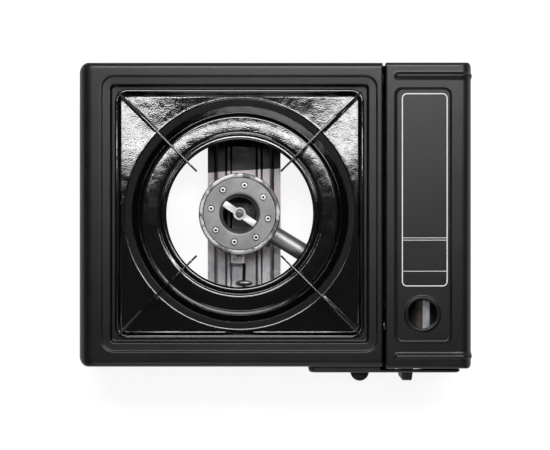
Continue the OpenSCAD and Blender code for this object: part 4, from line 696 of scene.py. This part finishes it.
# The cap is held by a stamped bar and a cross-head screw, both plated; the screw's plating is dulled.
brushed = metal("zinc_plated_steel", "cfcfcd", "e4e4e1", 0.62, 0.3, 0.006, (1, 0.12, 1))
bar_half, bar_half_w, bore_r, bar_turn, cross_turn = 16.4, 2.85, 4.1, -34, -14
bar = plate("bar", rounded(oblong(-bar_half, bar_half, -bar_half_w, bar_half_w), 0.8), 80.0, 81.5)
bar = cut(bar, lathe("bore", [[0, 79], [bore_r, 79], [bore_r, 83], [0, 83]], steps=64))
bar = eased(bar, 0.3)
hub = lathe("hub", bend([[0, 80.2], [5.5, 80.2], [5.5, 82.1], [bore_r, 82.1], [bore_r, 80.5], [0, 80.5]],
                        [0, 0.1, 0.3, 0.2, 0.1, 0]), steps=64)
fit("clamp_bar", placed(joined("clamp", bar, hub), burner_x, burner_y, 0, bar_turn), "stove",
    "bright_steel", brushed, "cap_clamp_bar")
head = lathe("head", bend([[0, 80.5], [3.2, 80.5], [3.2, 82.2], [2.6, 82.6], [0, 82.8]],
                          [0, 0.1, 0.3, 0.5, 0]), steps=64)
for turn_deg in (0, 90):
    head = cut(head, placed(plate("arm", oblong(-2.2, 2.2, -0.5, 0.5), 81.2, 85), 0, 0, 0, turn_deg))
head = placed(head, burner_x, burner_y, 0, cross_turn)
bright = metal("bright_plated_steel", "c6c8cb", "dcdde0", 0.2, 0.6, 0.01)
screw_plate = metal("dulled_screw_plate", "6c6c6f", "848487", 0.42, 0.4, 0.01)
fit("clamp_screw", head, "stove", "bright_steel", screw_plate, "cap_screw")
paint(bright, "burner_post", "bracket_rivets", "regulator_screws", "locating_pin", "valve_spindle",
      "lever_shaft", "lever_spring", "carrier_spring", "lid_hinge_pins", "panel_screws", "electrode_wire")

# The bowl below is cast in the cap's alloy; it is coloured much darker, a painted shade for the shadow
# it stands in under the cap.
shaded_bowl_cast = metal("cast_aluminium_in_painted_shade", "3a393a", "4b4a4b", 0.6, 0.6, 0.07)
paint(shaded_bowl_cast, "burner_body")

# The mixing tube is cast in the same alloy, a little smoother and lighter than the cap, and swells
# towards its mouth, which ends at mouth_x.
tube_z, tube_dir, mouth_x = 54.0, -31.5, 82
mouth = (mouth_x - burner_x) / np.cos(np.radians(tube_dir))
tube_line = bend([[5.6, 25], [8.6, 25], [8.0, 31], [8.0, 56], [9.2, mouth - 8], [9.2, mouth], [7.8, mouth],
                  [6.6, mouth - 30], [5.6, 40], [5.6, 25]], [0, 0.5, 3, 6, 4, 0.4, 0.4, 3, 3, 0])[:-1]
tube = lathe("tube", tube_line, axis="x", steps=64)
fit("mixing_tube_casting", placed(tube, burner_x, burner_y, tube_z, tube_dir), "stove",
    "cast_aluminium", tube_cast, "mixing_tube")

# ---- Burner bracket ---------------------------------------------------------------------------
# A strip of zinc-coated steel, pressed with two ribs and folded at its sides, spans the hob from
# front to rear; the zinc froze in faint leaf-like crystals, each with its own shade and shine.

# Rings round the burner's axis, a brown tint near the flames and painted shade under the bowl: share at
# full strength, colour, and the radii between which it fades.
tint_and_shade_rings = ((0.5, "9c8480", 42, 49), (0.85, "403e3e", 16, 22))


def zinc_coated(name, dark, light, shadow_from=None):
    """Hot-dip zinc: crystals about 7 mm across (Voronoi cells) and fine rolling lines. Where the last
    argument is given, a painted shadow of the pan's lip turns it black and not metallic to the rear of a
    slightly slanting edge, which crosses X = 0 at that Y in millimetres; a ring near the flames is tinted
    brown, and painted shade darkens it under the bowl."""
    material, tree, bsdf, where = finish(name, Metallic=1.0)
    stray = add(tree, "TexNoise", {"Scale": 160.0}, {"Vector": where}).outputs["Color"]
    bent = add(tree, "VectorMath", {"operation": "MULTIPLY_ADD", 1: (0.004, 0.004, 0.004)},
               {0: stray, 2: where}).outputs[0]
    cells = add(tree, "TexVoronoi", {"Scale": 1 / (7 * mm)}, {"Vector": bent}).outputs["Color"]
    shade = add(tree, "SeparateColor", feeds={0: cells}).outputs[0]
    lines = grain(tree, where, 0.5 * mm, 3.0, (1, 0.04, 1))
    tone = add(tree, "Math", {"operation": "MULTIPLY_ADD", 1: 0.6},
               {0: shade, 2: between(tree, lines, 0, 0.4)}).outputs[0]
    tree.links.new(between(tree, tone, 0.32, 0.5, 0, 1), bsdf.inputs["Roughness"])
    raised(tree, bsdf, lines, 0.00002)
    colour = blend(tree, tone, dark, light)
    if shadow_from is not None:
        # A painted shadow of the pan's lip: black and not metallic to the rear of a slanting edge.
        place = add(tree, "SeparateXYZ", feeds={0: where})
        edge = add(tree, "Math", {"operation": "MULTIPLY_ADD", 1: -0.06},
                   {0: place.outputs["X"], 2: place.outputs["Y"]})
        shadow_line = shadow_from * mm
        painted_shadow = between(tree, edge.outputs[0], 0, 1, shadow_line, shadow_line + 0.6 * mm)
        # Painted shade under the bowl, and a brown ring near the flames.
        level = add(tree, "VectorMath", {"operation": "MULTIPLY", 1: (1, 1, 0)}, {0: where}).outputs[0]
        far = add(tree, "VectorMath", {"operation": "DISTANCE", 1: (burner_x * mm, burner_y * mm, 0)},
                  {0: level}).outputs["Value"]
        layers = [(between(tree, far, strength, 0, inner_r * mm, outer_r * mm), code)
                  for strength, code, inner_r, outer_r in tint_and_shade_rings]
        for amount, code in layers + [(painted_shadow, "070708")]:
            colour = add(tree, "Mix", {"data_type": "RGBA", 7: linear(code)},
                         {0: amount, 6: colour}).outputs[2]
        unshadowed = between(tree, painted_shadow, 1, 0, 0, 1)
        tree.links.new(unshadowed, bsdf.inputs["Metallic"])
    tree.links.new(colour, bsdf.inputs["Base Color"])
    return material


zinc = zinc_coated("zinc_coated_sheet", "9c9da0", "c2c3c6")
# The strip takes the painted shadow of the pan's lip behind Y = 50.6 mm, at X = 0.
strip_zinc = zinc_coated("zinc_coated_strip_with_painted_shadow", "b2b3b6", "dcdddf", 50.6)
paint(zinc, "cartridge_rails", "regulator_bracket", "lock_lever", "lever_crank", "lever_bracket",
      "cartridge_carrier", "air_shutter", "regulator_cover")
paint(metal("nickel_plated_steel", "efede7", "fbfaf6", 0.6, 0.4, 0.01), "electrode_clip")
web_x, web_half, web_z = burner_x + 2.6, 24.25, 30.0
half_line = [[0, web_z], [11, web_z], [12.4, web_z + 1.8], [15.6, web_z + 1.8], [17, web_z],
             [web_half, web_z], [web_half + 3, web_z - 7], [web_half + 9.4, web_z - 7]]
section = np.array([[-x, z] for x, z in half_line[:0:-1]] + half_line)
section = bend(section, 0.6)
along = np.linspace(hob_front + 1.1, hob_rear - 1.1, 40)
strip_grid = np.array([[[x + web_x, y, z] for y in along] for x, z in section])
strip_sheet = walled(skin("bracket", strip_grid[::-1] * mm, closed=False), 1.0)
tab_line = rounded(oblong(web_x - web_half, web_x + web_half, web_z - 1, web_z + 12), 2.5)
tabs = [plate("tab", tab_line, y, y + 1, "y") for y in (hob_front + 1.05, hob_rear - 2.05)]
fit("bracket_strip", joined("bracket", strip_sheet, *tabs), "stove", "galvanised_steel", strip_zinc,
    "burner_bracket")

# The strip's lanced clip is an oval bridge that holds the ignition lead down.
clip_x, clip_y, clip_top, clip_half, clip_half_w = -28.6, -54, 34.9, 8.2, 2.5
oval = np.linspace(0, 2 * np.pi, 41)[:-1]
share = np.linspace(0, 1, 9)[:, None]
edge_fall = 1.9 * np.broadcast_to(share, (len(share), len(oval))) ** 2.5
end_fall = 2.4 * (share * np.cos(oval)) ** 4
clip_grid = np.stack([clip_x + clip_half * share * np.cos(oval), clip_y + clip_half_w * share * np.sin(oval),
                      clip_top - edge_fall - end_fall], -1)
clip = skin("clip", clip_grid[::-1] * mm)
settle(clip, 1e-5)
fit("lanced_clip", walled(clip, 0.8), "stove", "galvanised_steel", zinc, "lead_clip")

# ---- Igniter ----------------------------------------------------------------------------------
# A rubber-covered lead runs from the piezo igniter under the pan to a glazed electrode that stands
# in a pressed clip in front of the bowl.
rubber, tree, bsdf, where = finish("black_rubber", Roughness=0.6, IOR=1.5, Specular_IOR_Level=0.5)
tree.links.new(blend(tree, grain(tree, where, 2 * mm), "0f0f10", "1a1a1b"), bsdf.inputs["Base Color"])
raised(tree, bsdf, grain(tree, where, 0.3 * mm), 0.00003)
route = np.array([[102.9, -110.5, 20], [97, -110.5, 20], [89, -110.5, 20], [81, -112, 19], [72.9, -114.5, 17],
                  [58.4, -115.5, 15], [41.5, -115.5, 15], [28.2, -114, 17], [16.1, -112, 22], [4, -109, 29],
                  [-8.1, -104, 33.4], [-18, -96, 33.5], [-24, -86, 32.4], [-27, -76.1, 31.7],
                  [-28.4, -66, 31.5], [-28.6, -54, 31.5], [-28.4, -46, 32.2], [-28.2, -39, 35],
                  [-29.4, -33.6, 39.5], [-32.3, -30.7, 46.5], [-32.4, -30.6, 50.9]])


def cable(name, points, radius, steps=8, sides=12):
    """Round cable along points joined by Catmull-Rom curves; its circles stand square to the path, and
    are laid out from a direction, aside, in which the path never runs."""
    aside = [0.2, 0.35, 0.9]
    before, after = 2 * points[0] - points[1], 2 * points[-1] - points[-2]
    p = np.concatenate([[before], points, [after]])
    t = np.linspace(0, 1, steps + 1)[:-1, None]
    a, b, c, d = (p[k:len(p) - 3 + k, None] for k in range(4))
    path = 0.5 * (2 * b + (c - a) * t + (2 * a - 5 * b + 4 * c - d) * t ** 2
                  + (3 * b - a - 3 * c + d) * t ** 3)
    path = np.concatenate([path.reshape(-1, 3), points[-1:]])
    forward = np.gradient(path, axis=0)
    forward = forward / np.linalg.norm(forward, axis=1)[:, None]
    side = np.cross(forward, aside)
    side = side / np.linalg.norm(side, axis=1)[:, None]
    up = np.cross(side, forward)
    turn = np.linspace(0, 2 * np.pi, sides + 1)[:-1, None]
    grid = path[:, None] + radius * (np.cos(turn) * side[:, None] + np.sin(turn) * up[:, None])
    ends = [np.repeat(end[:, None], sides, 1) for end in (path[:1], path[-1:])]
    grid = np.concatenate([ends[0], grid, ends[1]])
    mesh = skin(name, grid * mm)
    settle(mesh)
    return mesh


lead_r = 1.4
fit("ignition_lead_sleeve", cable("lead", route, lead_r), "stove", "black_rubber", rubber, "ignition_lead")
paint(rubber, "inlet_seal", "lead_grommet", "foot_rear_left", "foot_rear_right", "foot_front_left",
      "foot_front_right")
glaze, tree, bsdf, where = finish("glazed_ceramic", Roughness=0.12, IOR=1.5, Coat_Weight=0.5)
tree.links.new(blend(tree, grain(tree, where, 3 * mm), "e6e2d8", "f2efe8"), bsdf.inputs["Base Color"])
paint(glaze, "electrode_ceramic")

# ---- Valve and regulator ----------------------------------------------------------------------
# The regulator is a zinc die casting with a rough, oxidised brown-grey skin, coloured darker still as
# painted shade for the shadow it lies in under the lid; its jet is turned brass.
casting = metal("oxidised_zinc_casting_in_painted_shade", "4f4743", "6b625d", 0.5, 0.9, 0.09)
paint(casting, "regulator_body")
brass = metal("turned_brass", "b8924a", "cfa95f", 0.25, 0.3, 0.01)
paint(brass, "gas_jet")

# ---- Front panel and controls -----------------------------------------------------------------
# The panel, the knob and the lever's tab are moulded in black ABS, spark-eroded to a fine matt
# grain that dulls reflections; the cam is white acetal.
plastic, tree, bsdf, where = finish("grained_black_abs", Roughness=0.45, IOR=1.53, Specular_IOR_Level=0.5)
tree.links.new(blend(tree, grain(tree, where, 12 * mm), "141415", "1b1b1c"), bsdf.inputs["Base Color"])
raised(tree, bsdf, grain(tree, where, 0.35 * mm, 2.0), 0.00004)
paint(plastic, "igniter_body")
acetal, tree, bsdf, where = finish("white_acetal", Roughness=0.35, IOR=1.48)
tree.links.new(blend(tree, grain(tree, where, 4 * mm), "ddd8c9", "e8e4d8"), bsdf.inputs["Base Color"])
paint(acetal, "ignition_cam")

panel_left, panel_right, panel_low, panel_high, face_y = 29.6, 163.3, 12.0, 80.0, -130.8
panel_rows = [station(panel_left + i, panel_right - i, panel_low + i, panel_high - i, 6 - i * 0.7, h)
              for i, h in ((0, 125.35), (0, 127), (0, 129.3), (1.5, -face_y), (3.5, -face_y))]
panel_rows = bend(panel_rows, [0, 0, 1.6, 1.6, 0], measure=[0, 8])
panel_shares = [np.linspace(0, 1, 26)[1:-1]] * 4
panel_grid = pressing(panel_rows, panel_shares, 10)
knob_centre = np.array([knob_x, knob_z])
bearing = bearings(panel_grid[-1], knob_centre)

# The moulding's outer face turns into the knob's well and comes back as the inner face, 2 mm behind.
well_back, inner_face = 117.2, 128.8
well_line = bend([[26.2, -face_y], [24, -face_y], [24, 119.0], [5, 119.0], [5, well_back]],
                 [0, 0.9, 1.2, 0.3, 0], steps=6)
well = circles(knob_centre, bearing, well_line)
inner_well = circles(knob_centre, bearing, [[5, well_back], [26, well_back], [26, inner_face]])
inner_rows = [station(panel_left + 2, panel_right - 2, panel_low + 2, panel_high - 2, 4, h)
              for h in (inner_face, 125.35)]
inner = pressing(inner_rows, panel_shares, 10)
panel_grid = np.concatenate([panel_grid, well, inner_well, inner, panel_grid[:1]])[..., [0, 2, 1]]
panel = skin("panel", panel_grid * np.array([1, -1, 1]))
settle(panel)
lid_notch = plate("notch", oblong(92.5, 170, 64, 82), -128.8, -120, "y")
lever_slot = plate("slot", stadium(lever_x, lever_z, 4, slot_h), -135, -120, "y")
fit("moulded_panel", cut(cut(panel, lid_notch), lever_slot), "stove", "black_plastic", plastic, "front_panel")

# The knob is a disc in the well with a grip across it. The grip's rows are width, length, corner radius
# and how far to the front they lie.
disc_line = bend([[0, 128.8], [20, 128.8], [22, 126.8], [22, 123.8], [20.5, 123.8], [20.5, 125.8], [6, 125.8],
                  [6, 119.6], [0, 119.6]], [0, 1.2, 0.8, 0.3, 0.3, 0.5, 0.5, 0.3, 0])
disc = lathe("disc", disc_line, knob_x, 0, knob_z, axis="y")
grip_end = 139.4
grip_rows = [station(-w / 2, w / 2, -l / 2, l / 2, r, h) for w, l, r, h in (
    (11, 41, 2.2, 126.5), (11, 41, 2.2, 129), (8.6, 37.4, 1.8, grip_end), (7.2, 35.4, 1.2, grip_end),
    (0.2, 29, 0.05, grip_end))]
grip_rows = bend(grip_rows, [0, 0.5, 1.3, 0.5, 0], measure=[0, 8])
grip_grid = pressing(grip_rows, [np.linspace(0, 1, 8)[1:-1]] * 4, 6)[..., [0, 2, 1]] * np.array([1, -1, 1])
grip = skin("grip", grip_grid + np.array([knob_x, 0, knob_z]) * mm)
fit("knob_moulding", joined("knob", disc, grip), "knob", "black_plastic", plastic, "control_knob")
pointer_line = rounded(oblong(knob_x - 0.7, knob_x + 0.7, knob_z + 3, knob_z + 17), 0.5)
pointer = plate("pointer", pointer_line, -grip_end - 0.02, -grip_end + 0.3, "y")
fit("knob_pointer", pointer, "knob", None, ink)

tab_half, tab_front, tab_rear, tab_low, tab_high = 8.3, -141.5, -131.6, 42.6, 51.4
arc = np.linspace(np.pi, 2 * np.pi, 25)
tab_round = np.column_stack([lever_x + tab_half * np.cos(arc), tab_front + tab_half + tab_half * np.sin(arc)])
tab_outline = [[lever_x - tab_half, tab_rear]] + tab_round.tolist() + [[lever_x + tab_half, tab_rear]]
tab = eased(plate("tab", tab_outline, tab_low, tab_high), 1.3, 4)
fit("lever_tab_moulding", tab, "lever", "black_plastic", plastic, "lever_tab")
